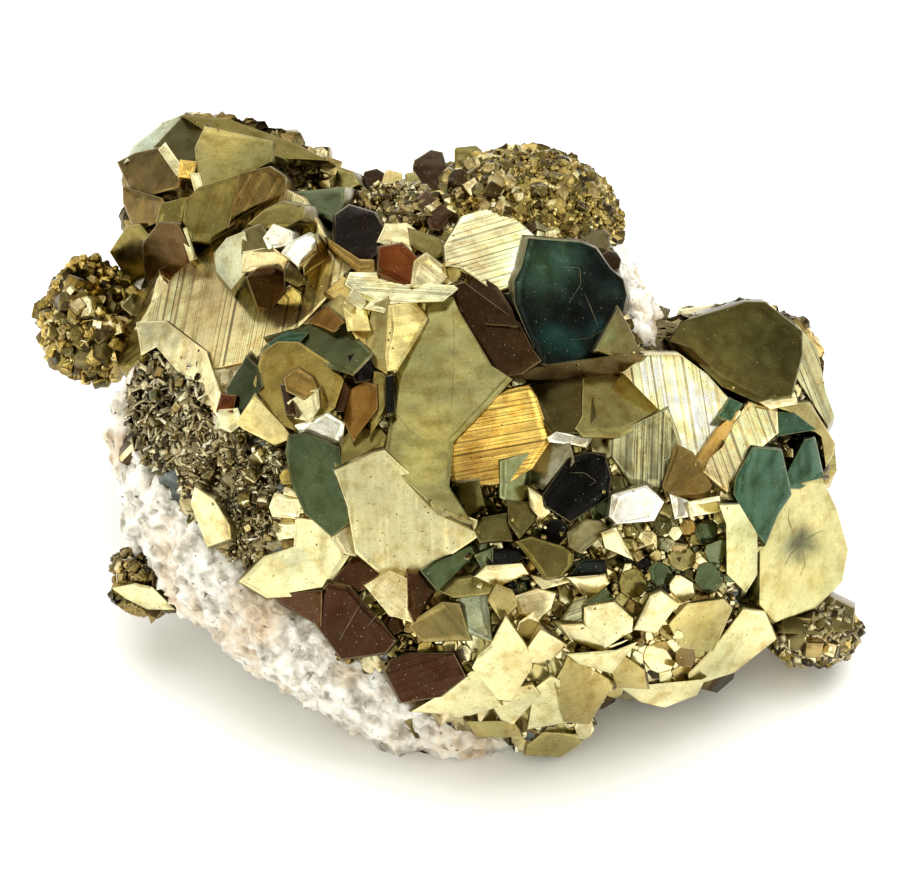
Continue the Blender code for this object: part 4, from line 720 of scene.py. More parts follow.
    ("white", (-27, 0.45, 1.3), BODY, 0.1, -0.5, 1.3, [(-12.6, 1.5), (-10.3, 2.3), (-9.1, 1.6),
     (-9.2, -0.4), (-12, 0.7)]),
    ("dark_brown", None, BODY, 0.4, -0.1, 1.2, [(-9.5, 3), (-8.9, 5), (-8.3, 4.2), (-8.7, 3)]),
    ("gold_pale", None, BODY, -0.2, -0.6, 1.5, [(-17.5, 1.7), (-16.2, 3.7), (-14.2, 1.5), (-13.5, 0.6),
     (-14.8, 0.2), (-16.9, 1.3)]),
    ("green", None, BODY, -0.2, -0.1, 1.5, [(-13.3, 0.4), (-12, 0.6), (-9.4, -0.6), (-9.2, -3.5),
     (-8.4, -5), (-8.5, -6.2), (-9.9, -7.4), (-12, -5.4), (-12.9, -3.2), (-13.4, -1)]),
    ("olive", None, BODY, 0.1, 0.4, 1.4, [(-9.1, -2.3), (-9.4, -1), (-8, 1.3), (-6, 1), (-5.4, 0.4),
     (-5.9, -0.5), (-8.5, -2.1)]),
    ("umber_gold", None, BODY, -0.4, 0.2, 1.3, [(-8.6, 2.2), (-8.2, 4.2), (-7.3, 4.9), (-6.3, 4.6),
     (-6.4, 3), (-8, 0.6)]),
    ("olive", None, BODY, 0.3, 0.1, 1.2, [(-6.6, 1), (-5.5, 3), (-5.4, 5.5), (-6.3, 5.7), (-6.3, 3.4)]),
    # middle of the face
    ("khaki_big", None, BODY, -0.15, 0.3, 1.6, [(-1.9, 11.3), (0, 12.4), (0.8, 10.6), (3.2, 6.3),
     (4.9, 5.3), (2.6, 3), (0.2, 0.6), (-0.1, -3.2), (1.7, -6.1), (-1.1, -5), (-4.2, -2.1),
     (-5.2, -0.8), (-4.6, 2.8), (-4, 6.9), (-2.1, 9.8)]),
    ("gold", (10, 0.3, 0.9), BODY, 0, 0.1, 1.6, [(0.3, 0.4), (2.6, 3.1), (4.8, 4.2), (6.4, 4.6),
     (7, 3.6), (8.1, 0.4), (6.6, -1.8), (4.9, -2.8), (0.5, -3.3), (-0.1, -1)]),
    ("mint", None, BODY, 0.5, -0.2, 1.3, [(4.4, -1.7), (6.6, -1), (6.4, -2.9), (6.3, -4.2), (5.4, -4.7),
     (4.4, -4.2)]),
    ("dark_olive", None, BODY, -0.1, -0.7, 1.3, [(0.5, -3.4), (2.2, -3.3), (2.7, -5.2), (1.6, -5.6),
     (0.9, -4.5)]),
    ("khaki", None, BODY, 0.25, 0.45, 1.4, [(11.2, 5.2), (14.8, 5.7), (17.6, 2.9), (17.2, 2.3),
     (14, 0.9), (11.4, 0.8), (10.8, 1.5), (11.9, 3.3)]),
    ("umber_green", None, BODY, -0.2, 0.5, 1.3, [(6.6, 4.9), (10, 5.6), (11.3, 5.2), (11.9, 2.4),
     (11, 1.2), (8.6, 1.2), (7, 3.4)]),
    ("white", None, BODY, 0, -0.3, 2.2, [(8.5, 0.5), (9.2, 0.85), (11.5, 0.5), (12, 0.15), (11, -0.1),
     (8.6, 0.2)]),
    ("grey", None, BODY, -0.7, 0, 1.6, [(7.2, -1), (8, 0), (9.8, -0.3), (10, -1.5), (9.2, -2.6),
     (7.9, -3.6), (7, -2.8)]),
    ("black", None, BODY, 0.1, -0.1, 2, [(10, -1.5), (11.4, -1), (12.7, -1.2), (13.1, -2.9),
     (12.9, -4.3), (10.1, -6.2), (8.2, -5), (8, -4.2)]),
    ("cream", None, BODY, -0.3, -0.7, 1.3, [(6.7, -4), (7.9, -4.9), (8, -5.6), (7.3, -6.4), (6.9, -5.8)]),
    # striated faces right of the middle
    ("steel", (88, 0.33, 1.1), BODY, -0.15, -0.3, 1.5, [(13.5, 0.2), (15.2, 1.2), (18, 2.6), (18.9, 0),
     (18.9, -2.4), (17.4, -3.4), (15.2, -3), (13.6, -0.8)]),
    ("bright", (99, 0.42, 0.9), BODY, 0.1, 0.1, 1.4, [(14.7, 5.8), (16.5, 7.2), (19.2, 7.1),
     (21.2, 5.5), (23.9, 2.7), (22.4, 0.9), (21.3, 0), (20.2, -0.95), (18.9, -0.1), (18, 2.7),
     (16.5, 4)]),
    ("amber", None, BODY, 0.8, -0.5, 1.2, [(23.9, 2.6), (22.3, -0.4), (20.8, -2.1), (20.6, -1.3),
     (22.1, 0.9)]),
    ("cream_gold", (110, 0.38, 1), BODY, -0.1, 0.2, 1.5, [(24.2, 2.3), (24.9, 3.1), (27, 2.5),
     (27, 0.8), (25.5, -0.3), (24, -2.8), (23.2, -3.7), (21.4, -2.1), (22.3, -0.4)]),
    ("teal", None, BODY, 0.2, -0.1, 1.6, [(25.3, -0.6), (27.5, -0.8), (28.1, -4.2), (27.1, -5.6),
     (26.3, -8), (25.2, -6.6), (24, -4.2), (24.1, -3)]),
    ("teal", None, BODY, 0.3, 0, 1.5, [(29.5, 0), (30.3, 0.2), (30.8, -2.5), (29.2, -3.4), (28.4, -3.4),
     (28.2, -2.6)]),
    ("teal", None, BODY, 0.2, 0.5, 1.2, [(26.8, 2.6), (28.5, 2.3), (30.2, 1.3), (27.5, 0.9)]),
    ("umber", None, BODY, 0.1, -0.3, 1.3, [(18.9, -0.3), (20.2, -1.1), (21.7, -3.2), (20.9, -4.3),
     (18.3, -4.2), (18, -3.4)]),
    # dark crystal at the upper right
    ("dark_olive_mirror", None, RIGHT_CRYSTAL, -0.1, 0.35, 1, [(18.7, 8.7), (19.7, 10.1), (24.6, 11.5),
     (26.1, 11.5), (29, 9.3), (29, 7.5), (28.2, 4.3), (25.7, 3.7), (22.8, 5.1), (20.1, 7.6)]),
    ("dusty", None, RIGHT_CRYSTAL, -0.3, -0.7, 0.5, [(18.6, 8.4), (20.3, 7.8), (23, 5.2), (26, 3.7),
     (24.4, 3.2), (21.5, 5.4), (19, 7.2)]),
    ("steel", (112, 0.5, 0.9), RIGHT_CRYSTAL, 0.9, 0, 0.4, [(28.9, 9.8), (30.6, 7.5), (31.1, 4.6),
     (31.9, 2.6), (31.4, 1.8), (28.8, 6)]),
    ("cream", None, BODY, 0.2, -0.3, 2, [(26.2, 3.5), (28.4, 4.1), (28.6, 3.4), (27, 3.1)]),
    ("tan", None, BODY, 0.5, 0.1, 1.4, [(27, 3), (30, 3.1), (31.8, 0.2), (31.7, -0.6), (31.2, -1.6),
     (30.6, 0.8), (28.4, 2.5)]),
    # broad pale faces at the lower left
    ("cream_flat", (92, 0.5, 0.35), BODY, 0.05, -0.25, 1.7, [(-9.3, -2.4), (-6.2, -1.1), (-5.3, -0.9),
     (-2.9, -3.3), (-0.7, -5.4), (1.9, -6.3), (1.95, -7.7), (-1.6, -10), (-2.6, -10.7), (-5.4, -10.8),
     (-7.6, -8.9), (-8.2, -5.3)]),
    ("cream_flat", (6, 0.5, 0.35), BODY, 0.15, 0.1, 1, [(-15.2, -9.4), (-13, -8.9), (-12.9, -6.5),
     (-11, -6.6), (-8.6, -9.2), (-10.7, -12.3), (-15, -12.5), (-17.2, -11.3)]),
    ("cream", None, BODY, 0.5, 0.1, 1.1, [(-9.5, -7.9), (-8.6, -6.6), (-7.9, -7.8), (-8, -9),
     (-8.8, -8.8)]),
    ("cream_flat", None, BODY, -0.2, -0.1, 1.6, [(-21.1, -3.9), (-19.7, -5), (-18.7, -6.6),
     (-18.5, -7.6), (-20.2, -8.2), (-21.3, -5.2)]),
    # dark crystals under them
    ("choco", None, BODY, -0.1, -0.15, 1.3, [(-10, -11.9), (-8.4, -12.2), (-4.8, -16.2), (-5.6, -17.2),
     (-9, -17.6), (-11, -14.8), (-10.7, -13)]),
    ("brown", None, BODY, 0, 0.5, 1, [(-10, -11.8), (-7.8, -9.7), (-6.5, -10), (-5, -10.9),
     (-7.5, -11.9)]),
    ("brown", None, BODY, -0.4, -0.3, 0.7, [(-14.6, -12.6), (-11, -12.4), (-11, -15), (-13.8, -13.4)]),
    ("cream", (-35, 0.3, 0.8), BODY, 0.1, 0, 1.4, [(-6.8, -11.9), (-5, -10.9), (-3.5, -11.5),
     (-3.3, -14.6), (-5, -13.9)]),
    ("dark_brown", None, BODY, 0.5, -0.1, 1.3, [(-3.4, -11), (-2.3, -11.2), (-1.3, -12), (-2.9, -14.6),
     (-3.3, -13.5)]),
    ("green", None, BODY, 0.2, 0.4, 1.3, [(-2.1, -10.5), (-0.9, -9.8), (1.6, -8.6), (2, -9.2),
     (-0.9, -11.9)]),
    # small crystals of the middle
    ("dark_olive", None, BODY, 0, -0.2, 1.3, [(2.9, -6.4), (4.5, -6), (4.9, -7.9), (2.7, -8),
     (2.4, -7.2)]),
    ("dark_olive", None, BODY, 0.4, 0, 1.3, [(5, -5), (6.5, -5.1), (7, -6), (5.8, -7.6), (5.2, -6.4)]),
    ("black", None, BODY, 0, 0.4, 1.4, [(3.5, -9), (5.8, -8.7), (6.1, -9.3), (4.5, -10.2), (3.3, -9.8)]),
    ("sage", None, BODY, -0.4, 0, 1.2, [(2.3, -9.4), (3.4, -8.9), (3.3, -9.9), (2.9, -10.6)]),
    ("cream", None, BODY, 0, -0.6, 1.3, [(2.4, -11), (3.4, -10.3), (5.6, -10.1), (6.2, -10.8),
     (4, -11.6)]),
    ("olive", None, BODY, 0.1, 0.1, 1.5, [(5.8, -8.3), (7, -8), (10, -8.9), (9.9, -10), (9.2, -10.7),
     (8, -10.9)]),
    ("olive_grey", None, BODY, 0, 0.3, 1.6, [(10.1, -7.4), (11, -6.5), (12.3, -6.6), (12.9, -7.2),
     (11, -8.8), (10.2, -8.3)]),
    ("ink", None, BODY, 0.2, 0.1, 1.4, [(10.3, -10.8), (11.3, -9.9), (12.7, -9.8), (12.8, -10.9)]),
    ("cream", None, BODY, 0, -0.6, 1.4, [(10.1, -11.2), (12.6, -11.1), (12.9, -11.6), (11.6, -12.8)]),
    ("cream", (-20, 0.35, 0.6), BODY, 0, 0.2, 1.2, [(7, -11), (9.5, -10.9), (10, -11.4), (8, -11.9)]),
    ("cream", (10, 0.35, 0.7), BODY, -0.2, -0.1, 1.3, [(5.6, -12.8), (7.2, -12.4), (8.5, -12.6),
     (8.1, -13.6), (7.3, -14.3), (6, -14)]),
    ("cream", None, BODY, 0.2, -0.6, 1.2, [(6.9, -17), (7.6, -15.8), (9.4, -16.8), (7.9, -18.2),
     (6.9, -17.9)]),
    # bright crystal low on the right of the middle
    ("white_cream", None, BODY, 0.1, 0, 2.2, [(11.5, -13.8), (13.6, -13.5), (14.9, -14.6),
     (14.8, -15.5), (13, -16.6), (11.5, -15.2)]),
    ("steel", (20, 0.35, 1), BODY, -0.6, 0.2, 1.7, [(9.5, -14.4), (10.3, -13.3), (11.2, -12.9),
     (11.4, -14.8), (9.6, -15.2)]),
    ("sage", None, BODY, 0.3, 0.6, 1.7, [(11.5, -13.2), (12.9, -12.2), (13.9, -13.5), (12.7, -13.4)]),
    ("cream", None, BODY, -0.2, -0.7, 1.6, [(9.5, -15.2), (10.5, -16.4), (12.5, -17.1), (14.5, -16.3),
     (13, -16.7), (11.3, -15.3)]),
    ("cream_flat", None, BODY, 0.1, -0.6, 1.4, [(10.1, -17.5), (13.5, -17.3), (15.3, -16.6),
     (13.3, -18.8), (11, -18.2)]),
    # crystals of the lower middle
    ("glassy", None, BODY, -0.3, 0.3, 1.4, [(0.5, -13.6), (0.9, -12.9), (2.9, -12.7), (3.3, -16.2),
     (0.9, -15.2)]),
    ("orange_tan", None, BODY, -0.1, 0, 1.3, [(-2.5, -14.6), (-0.8, -13.5), (0.5, -13.5), (1.5, -16.2),
     (-2, -16.2), (-3.2, -15)]),
    ("khaki", None, BODY, 0, 0.6, 1.3, [(-1, -12), (0.3, -11.2), (2.5, -11), (4.5, -12), (3, -12.4),
     (0.6, -12.6)]),
    ("tan", None, BODY, 0.4, 0, 1.3, [(3.5, -13), (4, -12), (5, -12.4), (5.4, -13.2), (4.4, -14.6)]),
    ("cream_flat", None, BODY, 0.1, -0.1, 2, [(4.6, -14.7), (6.4, -17.4), (6.5, -18.6), (5, -21.1),
     (4, -20.9), (2.2, -18.6), (2.7, -17.7), (3.6, -17)]),
    ("choco", (17, 0.33, 1), BODY, -0.2, 0.1, 1.4, [(-4.7, -18.2), (-3.5, -17.7), (0, -17.6),
     (1, -19.4), (-1, -20.8), (-3.9, -21.3), (-5.1, -19)]),
    ("cream_flat", None, BODY, -0.2, -0.7, 1.2, [(-2.9, -22.2), (-0.5, -20.9), (1.6, -19.3),
     (2.2, -19.2), (4, -21.7), (1.5, -22.3)]),
    ("cream_flat", None, BODY, -0.1, -0.1, 1.2, [(3.9, -21.8), (5.3, -20.7), (6.6, -20.3), (7.2, -21),
     (5.3, -23), (4.5, -22.7)]),
    ("cream_flat", None, BODY, 0.1, -0.2, 1.3, [(7.3, -20.6), (8.4, -19.7), (9, -20), (8.9, -21.8),
     (9.6, -22.9), (6.7, -23.5)]),
    ("tan", None, BODY, 0.4, 0, 1, [(9.6, -18.9), (9.9, -18), (13.4, -19.9), (11.5, -23), (9.6, -22.8),
     (9, -20)]),
    ("tan", None, BODY, 0.1, -0.4, 1, [(6.8, -25.1), (8, -24.3), (10.1, -24.3), (10.6, -24.9),
     (9, -25.8), (6.6, -25.8)]),
    ("tan", None, BODY, -0.2, 0, 0.9, [(1.7, -23.2), (5, -23.2), (5.6, -24.3), (2.6, -24.3)]),
    # right-hand lump
    ("tan_cream", None, BODY, 0, -0.2, 1.2, [(18.6, -15), (20, -13.6), (22.5, -13.2), (23.2, -13.9),
     (21.8, -17), (19.4, -16.7)]),
    ("cream_flat", None, BODY, 0.2, -0.3, 1.3, [(20.2, -18.9), (22.5, -16.8), (24.3, -14.1),
     (26, -14.3), (26.9, -16.3), (23.6, -18.7), (20.1, -20)]),
    ("tan", None, BODY, -0.2, -0.3, 1.2, [(13.8, -19), (14.6, -18), (15.8, -18.9), (16.2, -20.2),
     (14.2, -20)]),
    ("cream_flat", None, BODY, -0.1, -0.8, 0.8, [(14.5, -20.3), (20, -20.1), (21, -19.6), (20.2, -20.9),
     (18, -21.6), (16.3, -21.4)]),
    ("cream_crack", None, BODY, 0.35, -0.1, 1.8, [(28.2, -3.9), (30.9, -3.2), (32, -5.7), (32.8, -8.8),
     (32.4, -11.2), (30.5, -13.3), (27.2, -14.5), (26, -13.1), (26.2, -8.8), (28, -5.1)]),
    ("mint_cream", None, BODY, 0.3, -0.2, 1.5, [(22.6, -5.4), (24.1, -5.4), (25.3, -7.7), (25.4, -10.6),
     (24.6, -12), (23.2, -10.5), (23.2, -7)]),
    ("white_hot", None, BODY, 0.2, 0, 2.2, [(13.8, -4.4), (16.2, -3.75), (17.5, -4.9), (16.7, -6.2),
     (14.2, -6.4), (13.6, -5.9)]),
    ("cream", None, BODY, 0, -0.4, 1.7, [(12.9, -7.6), (13.8, -7.3), (15, -9.4), (13.2, -8.5)]),
    ("white_hot", None, BODY, 0.2, 0.2, 1.7, [(18.5, -4.4), (19.9, -5), (19.6, -5.8), (18.9, -5.9)]),
    ("bright", None, BODY, 0.2, -0.1, 1.6, [(20.2, -4.9), (22.2, -4.5), (22.3, -5.5), (20.3, -5.9)]),
    ("cream", None, BODY, 0.2, -0.3, 1.5, [(16.8, -13), (17.5, -12.6), (18.7, -13.4), (17.2, -15.4),
     (15.6, -15.2)]),
    ("olive_rough", None, NODULE, 0.2, 0.2, 0.6, [(28, -14), (31.5, -13), (33.4, -13.8), (33.2, -15.4),
     (30, -15.6), (28, -15.6)]),
]


def growth_levels(places, spacing, depth, dice):
    """Where growth lines fall between the lowest and highest of the places, and the height at each: steps
    of uneven width, each a long slope up and a short one down, and the outline's own corners between."""
    low = places.min()
    high = places.max()
    widths = []
    while sum(widths) < high - low:
        widths.append(spacing * dice.choice((0.35, 0.6, 0.8, 1.0, 1.5, 2.2)) * dice.uniform(0.85, 1.15))
    starts = low + np.cumsum([0] + widths[:-1])
    widths = np.diff([*starts, high])
    crests = starts + widths * 0.72
    rise = widths * LINE_TILT * depth * np.array([dice.uniform(0.15, 1) for width in widths])
    knots = np.concatenate([starts, crests, [high]])
    heights = np.concatenate([0 * starts, rise, [0]])
    order = np.argsort(knots)
    levels = np.unique(np.round(np.concatenate([knots, places]), 4))
    levels = levels[np.concatenate([[True], np.diff(levels) > 0.012])]
    levels[0] = low
    levels[-1] = high
    return levels, np.interp(levels, knots[order], heights[order]), crests


def crystal_end(outline, lines, finish, surface, back, dice):
    """One crystal's end. Its flat front is a grid: across the growth lines, by levels, and along them from
    one side of the outline to the other. Round it run a narrow edge, paler with wear and a painted
    highlight, and sides that go back in, darker with painted shade.
    surface(a, b, height) gives the front's places, and back(points) moves the rim to the crystal's root."""
    picture = np.array(outline, float)
    following = np.roll(picture, -1, axis=0)
    if np.sum(picture[:, 0] * following[:, 1] - picture[:, 1] * following[:, 0]) < 0:
        picture = picture[::-1]
    middle = picture.mean(axis=0)
    reach = np.hypot(*(picture - middle).T).mean()
    shrink = 1 - min(EDGE_WIDTH, 0.25 * reach) / reach
    inner = middle + (picture - middle) * shrink
    angle, spacing, depth = lines or (dice.uniform(0, 180), FLAT_SPACING, 0.04)
    along = np.array([math.cos(math.radians(angle)), math.sin(math.radians(angle))])
    across = np.array([-along[1], along[0]])
    p = inner @ across
    q = inner @ along
    levels, heights, crests = growth_levels(p, spacing, depth, dice)
    p2 = np.roll(p, -1)
    q2 = np.roll(q, -1)
    span = np.where(np.abs(p2 - p) < 1e-9, 1e-9, p2 - p)
    t = (levels[:, None] - p) / span
    crossing = q + (q2 - q) * np.clip(t, 0, 1)
    inside = (t > -1e-5) & (t < 1 + 1e-5)
    low = np.where(inside, crossing, np.inf).min(axis=1)
    high = np.where(inside, crossing, -np.inf).max(axis=1)
    columns = max(3, int((q.max() - q.min()) / ALONG_LINES) + 2)
    share = np.linspace(0, 1, columns)
    rows = len(levels)
    run = low[:, None] + (high - low)[:, None] * share
    a = levels[:, None] * across[0] + run * along[0]
    b = levels[:, None] * across[1] + run * along[1]
    fade = 0.55 + 0.45 * np.sin(run * 1.3 + levels[:, None] * 9.7)
    fade[:, 0] = fade[:, -1] = 0.3
    lift = heights[:, None] * fade
    lift[0] = lift[-1] = 0
    front = surface(a.ravel(), b.ravel(), lift.ravel())
    i = np.arange(rows - 1)[:, None] * columns
    j = np.arange(columns - 1)[None, :]
    quads = np.stack([i + j, i + j + 1, i + columns + j + 1, i + columns + j], axis=-1).reshape(-1, 4)
    index = np.arange(rows * columns).reshape(rows, columns)
    loop = np.concatenate([index[0, :-1], index[:-1, -1], index[-1, :0:-1], index[:0:-1, 0]])
    rim_picture = middle + (np.stack([a.ravel()[loop], b.ravel()[loop]], axis=1) - middle) / shrink
    rim = surface(rim_picture[:, 0], rim_picture[:, 1], np.full(len(loop), -EDGE_DROP))
    root = back(rim)
    count = len(loop)
    turn = (np.arange(count) + 1) % count
    first = rows * columns
    n = np.arange(count)
    edge = np.stack([loop, first + n, first + turn, loop[turn]], axis=1)
    side = np.stack([first + n, first + count + n, first + count + turn, first + turn], axis=1)
    colour, roughness, unevenness = FINISHES_WITH_PAINTED_REFLECTIONS[finish]
    shade = daylight(*colour)
    spread = unevenness * (0.45 if depth > 0.1 else 0.3)
    steps = np.array([dice.gauss(1.02, spread) for k in range(rows - 1)])
    layer = np.searchsorted(np.sort(crests), (levels[:-1] + levels[1:]) / 2)
    # the short slopes down of the growth steps are made darker: painted shade
    down = (np.diff(heights) < -1e-6) & (depth > 0.1)
    riser = 1 - 2.4 * unevenness * min(depth + 0.3, 1.2) * (0.35 + 0.65 * ((layer * 0.618) % 1))
    steps = np.where(down, steps * riser, steps)
    steps = np.clip(steps, 0.2, 1.4)
    front_shades = np.repeat(shade * steps[:, None], columns - 1, axis=0)
    # the narrow edge is paler than the front: wear and a painted highlight
    edge_shades = np.tile(shade * 0.9 + WORN_AND_HIGHLIT_EDGE * 0.16, (count, 1))
    corner = np.argmin(((rim_picture[:, None] - (picture + following) / 2) ** 2).sum(axis=2), axis=1)
    # the sides that go back in are darker than the front, mixed with a random tone: painted shade in the
    # joints
    side_tone = [dice.random() for k in range(len(picture))]
    side_shades = drawn_tones(DRUSE_TONES, np.array(side_tone))[corner] * 0.22 + shade * 0.42
    shades = np.clip(np.concatenate([front_shades, edge_shades, side_shades]), 0, 1)
    glosses = np.concatenate([np.full(len(quads), roughness), np.full(count, 0.3), np.full(count, 0.3)])
    return np.concatenate([front, rim, root]), [quads, edge, side], shades, glosses


def face_plane(swell, faces_right, faces_up, stands_out, outline):
    """Slope and level of the flat face that a swell carries at an outline: the plane that fits the swell
    there, eased, turned by how the face looks right and up, and raised."""
    picture = np.array(outline, float)
    middle = picture.mean(axis=0)
    rise = swell_depth(swell, *picture.T)
    fit = np.linalg.lstsq(np.column_stack([picture - middle, np.ones(len(rise))]), rise, rcond=None)[0]
    slope = fit[:2] * SLOPE_KEPT - np.array([faces_right, faces_up])
    slope = slope * min(1, STEEPEST / math.hypot(*slope))
    return slope, fit[2] + stands_out - SETTLED - slope @ middle


def view_plane(swell, faces_right, faces_up, stands_out, outline):
    """The surface of a flat face, which picture points reach along their lines of sight."""
    slope, level = face_plane(swell, faces_right, faces_up, stands_out, outline)

    def surface(across, up, height):
        lean = slope[0] * across + slope[1] * up
        out = (level + lean) / (1 + lean / VIEW_DISTANCE) + height
        return seen_at(across, up, out)

    return surface


BACKWARDS = in_space(0.0, 0.0, -1.0) - in_space(0.0, 0.0, 0.0)


def grown_outline(outline):
    """An outline with its corners moved out from the middle, so that a face meets its neighbours."""
    picture = np.array(outline, float)
    spokes = picture - picture.mean(axis=0)
    return picture + spokes * (MEETING / np.linalg.norm(spokes, axis=1))[:, None]


def face_tint_and_painted_light(points, dice):
    """How much lighter or darker each point of a face is than its shade: a slow change across it, along a
    direction of its own, that paints the soft fall of reflected light over a mirror face, and the clouds
    listed for that place."""
    across, up, out = in_view(points)
    heading = dice.uniform(0, math.tau)
    run = across * math.cos(heading) + up * math.sin(heading)
    # painted reflection: each face grows lighter towards one side and darker towards the other
    change = (run - run.mean()) / max(run.std() * 2, 0.5) * dice.uniform(0.08, 0.30)
    tint_and_painted_light = np.tile(change[:, None], (1, 3))
    for u, v, reach, colour in CLOUDS:
        share = np.exp(-(((across - u) ** 2 + (up - v) ** 2) / reach**2))
        tint_and_painted_light = tint_and_painted_light + share[:, None] * np.array(colour)
    return np.clip(tint_and_painted_light, -0.85, 9.0)


def flared_root(points):
    """The root of a crystal's end: its rim spread a little and carried straight back."""
    centre = points.mean(axis=0)
    spread = 1 + BLOCK_FLARE * BLOCK_DEPTH / max(1.5, np.abs(points - centre).mean() * 2)
    return centre + (points - centre) * spread + BACKWARDS * BLOCK_DEPTH


dice = random.Random(41)
ends = []
tints_and_painted_light = []
for finish, lines, *stance in CRYSTAL_FACES:
    outline = grown_outline(stance[-1])
    ends.append(crystal_end(outline, lines, finish, view_plane(*stance), flared_root, dice))
    ends[-1][0][:, 2] = np.maximum(ends[-1][0][:, 2], CLEAR_OF_TABLE)
    tints_and_painted_light.append(face_tint_and_painted_light(ends[-1][0], dice))
    sides = ends[-1][1][2]
    tints_and_painted_light[-1][-2 * len(sides):] = 0  # the rim and the root keep the plain shade
crystal_faces = mesh_piece("crystal_faces", *joined(ends))
tint_and_painted_light = crystal_faces.data.attributes.new("tint_and_painted_light", "FLOAT_COLOR", "POINT")
tints_and_painted_light = np.concatenate(tints_and_painted_light)
tint_and_painted_light.data.foreach_set("color", np.column_stack([tints_and_painted_light, np.ones(len(tints_and_painted_light))]).astype(np.float32).ravel())
crystal_faces.data.materials.append(pyrite)
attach(crystal_faces, "root")
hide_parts("pyrite_cluster")

# The mass and its swells, made once the faces are known: they stay under every face, and rise from each
# face's edge by no more than a set slope, so that the joints between the faces stay low.

JOINT_DEPTH = 0.55
JOINT_SLOPE = 0.9
JOINT_REACH = 4.0
SHALLOWEST_BACK = -24.0


def distance_outside(points, outline):
    """Distance of each picture point from an outline, and 0 inside it. The nearest point of each side is
    found by how far along the side the point falls. A point is inside if a level ray from it crosses the
    sides an odd number of times."""
    start = np.array(outline, float)
    end = np.roll(start, -1, axis=0)
    along = end - start
    way = points[:, None] - start
    share = np.clip((way * along).sum(axis=2) / np.maximum((along**2).sum(axis=1), 1e-9), 0, 1)
    gap = way - share[..., None] * along
    nearest = np.sqrt((gap**2).sum(axis=2)).min(axis=1)
    straddles = (start[:, 1] > points[:, 1, None]) != (end[:, 1] > points[:, 1, None])
    rise = np.where(end[:, 1] == start[:, 1], 1, end[:, 1] - start[:, 1])
    meets = start[:, 0] + (points[:, 1, None] - start[:, 1]) / rise * along[:, 0]
    inside = (straddles & (meets > points[:, :1])).sum(axis=1) % 2 == 1
    return np.where(inside, 0, nearest)


def most_out(across, up):
    """How far out anything may stand at a picture point: under each face's plane, and rising from its
    outline by the joint slope."""
    points = np.stack([across, up], axis=1)
    most = np.full(len(points), np.inf)
    for finish, lines, *stance in CRYSTAL_FACES:
        picture = np.array(stance[-1], float)
        near = ((points > picture.min(axis=0) - JOINT_REACH) & (points < picture.max(axis=0) + JOINT_REACH))
        near = np.flatnonzero(near.all(axis=1))
        if len(near):
            slope, level = face_plane(*stance)
            lean = points[near] @ slope
            out = (level + lean) / (1 + lean / VIEW_DISTANCE)
            away = distance_outside(points[near], stance[-1])
            limit = out - JOINT_DEPTH + JOINT_SLOPE * away
            most[near] = np.where(away < JOINT_REACH, np.minimum(most[near], limit), most[near])
    return most


def kept_low(points):
    """Moves points back along the line of sight to where they may stand, when they face the viewer."""
    across, up, out = in_view(points)
    lowered = np.where(out > SHALLOWEST_BACK, np.minimum(out, most_out(across, up)), out)
    return seen_at(across, up, lowered)


ball, faces = sphere_grid(MASS_ROWS, MASS_COLUMNS)
view = pillow(ball, BODY_OUTLINE, PYRITE_MIDDLE, BODY, pyrite_sunk, PYRITE_BACK)
mass_normals = vertex_normals(in_space(*view.T), faces)
mass_view = view
mass_points, mass_tones = rough_crust(in_space(*view.T), faces, 0.8, SPARKLING_TONES, 101)
mass_points = kept_low(mass_points)
mass_points[:, 2] = np.maximum(mass_points[:, 2], PYRITE_FLOOR)
mass = mesh_piece("pyrite_mass", mass_points, faces, mass_tones, np.full(len(mass_tones), 0.34))
mass.data.materials.append(pyrite)
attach(mass, "root")
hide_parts("pyrite_cluster")

swells = []
for number, (swell, sunk, width_share) in enumerate(MASSES):
    granular = swell in (DOME, KNOB, NODULE)
    rows, columns = (100, 150) if granular else (64, 100)
    points, faces = swell_body(swell, sunk, width_share, rows, columns)
    tones = GOLD_TONES if granular else ROUGH_TONES
    points, shades = rough_crust(points, faces, 0.5 if granular else 0.8, tones, 200 + number * 60)
    swells.append((kept_low(points), faces, shades, np.full(len(shades), 0.3)))
swell_masses = mesh_piece("pyrite_swells", *joined(swells))
swell_masses.data.materials.append(pyrite)
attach(swell_masses, "root")
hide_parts("pyrite_cluster")

# The larger crystals of the rim and the back: whole cubes of 3 to 7 mm with their corners cut off, sunk in
# the mass at all angles. Each pair of faces has its growth lines across the next pair's, as pyrite has. The
# large crystals that stand among the druses are drawn here too, before those of the rim.

DRUSE_SEED = 7
GOLDEN_ANGLE = 2.39996
GOLDEN_SHARE = 0.618
LARGE_SUNK = 0.9
RIM_COUNT = 44
RIM_SIDES = 21
RIM_FLOOR = 6
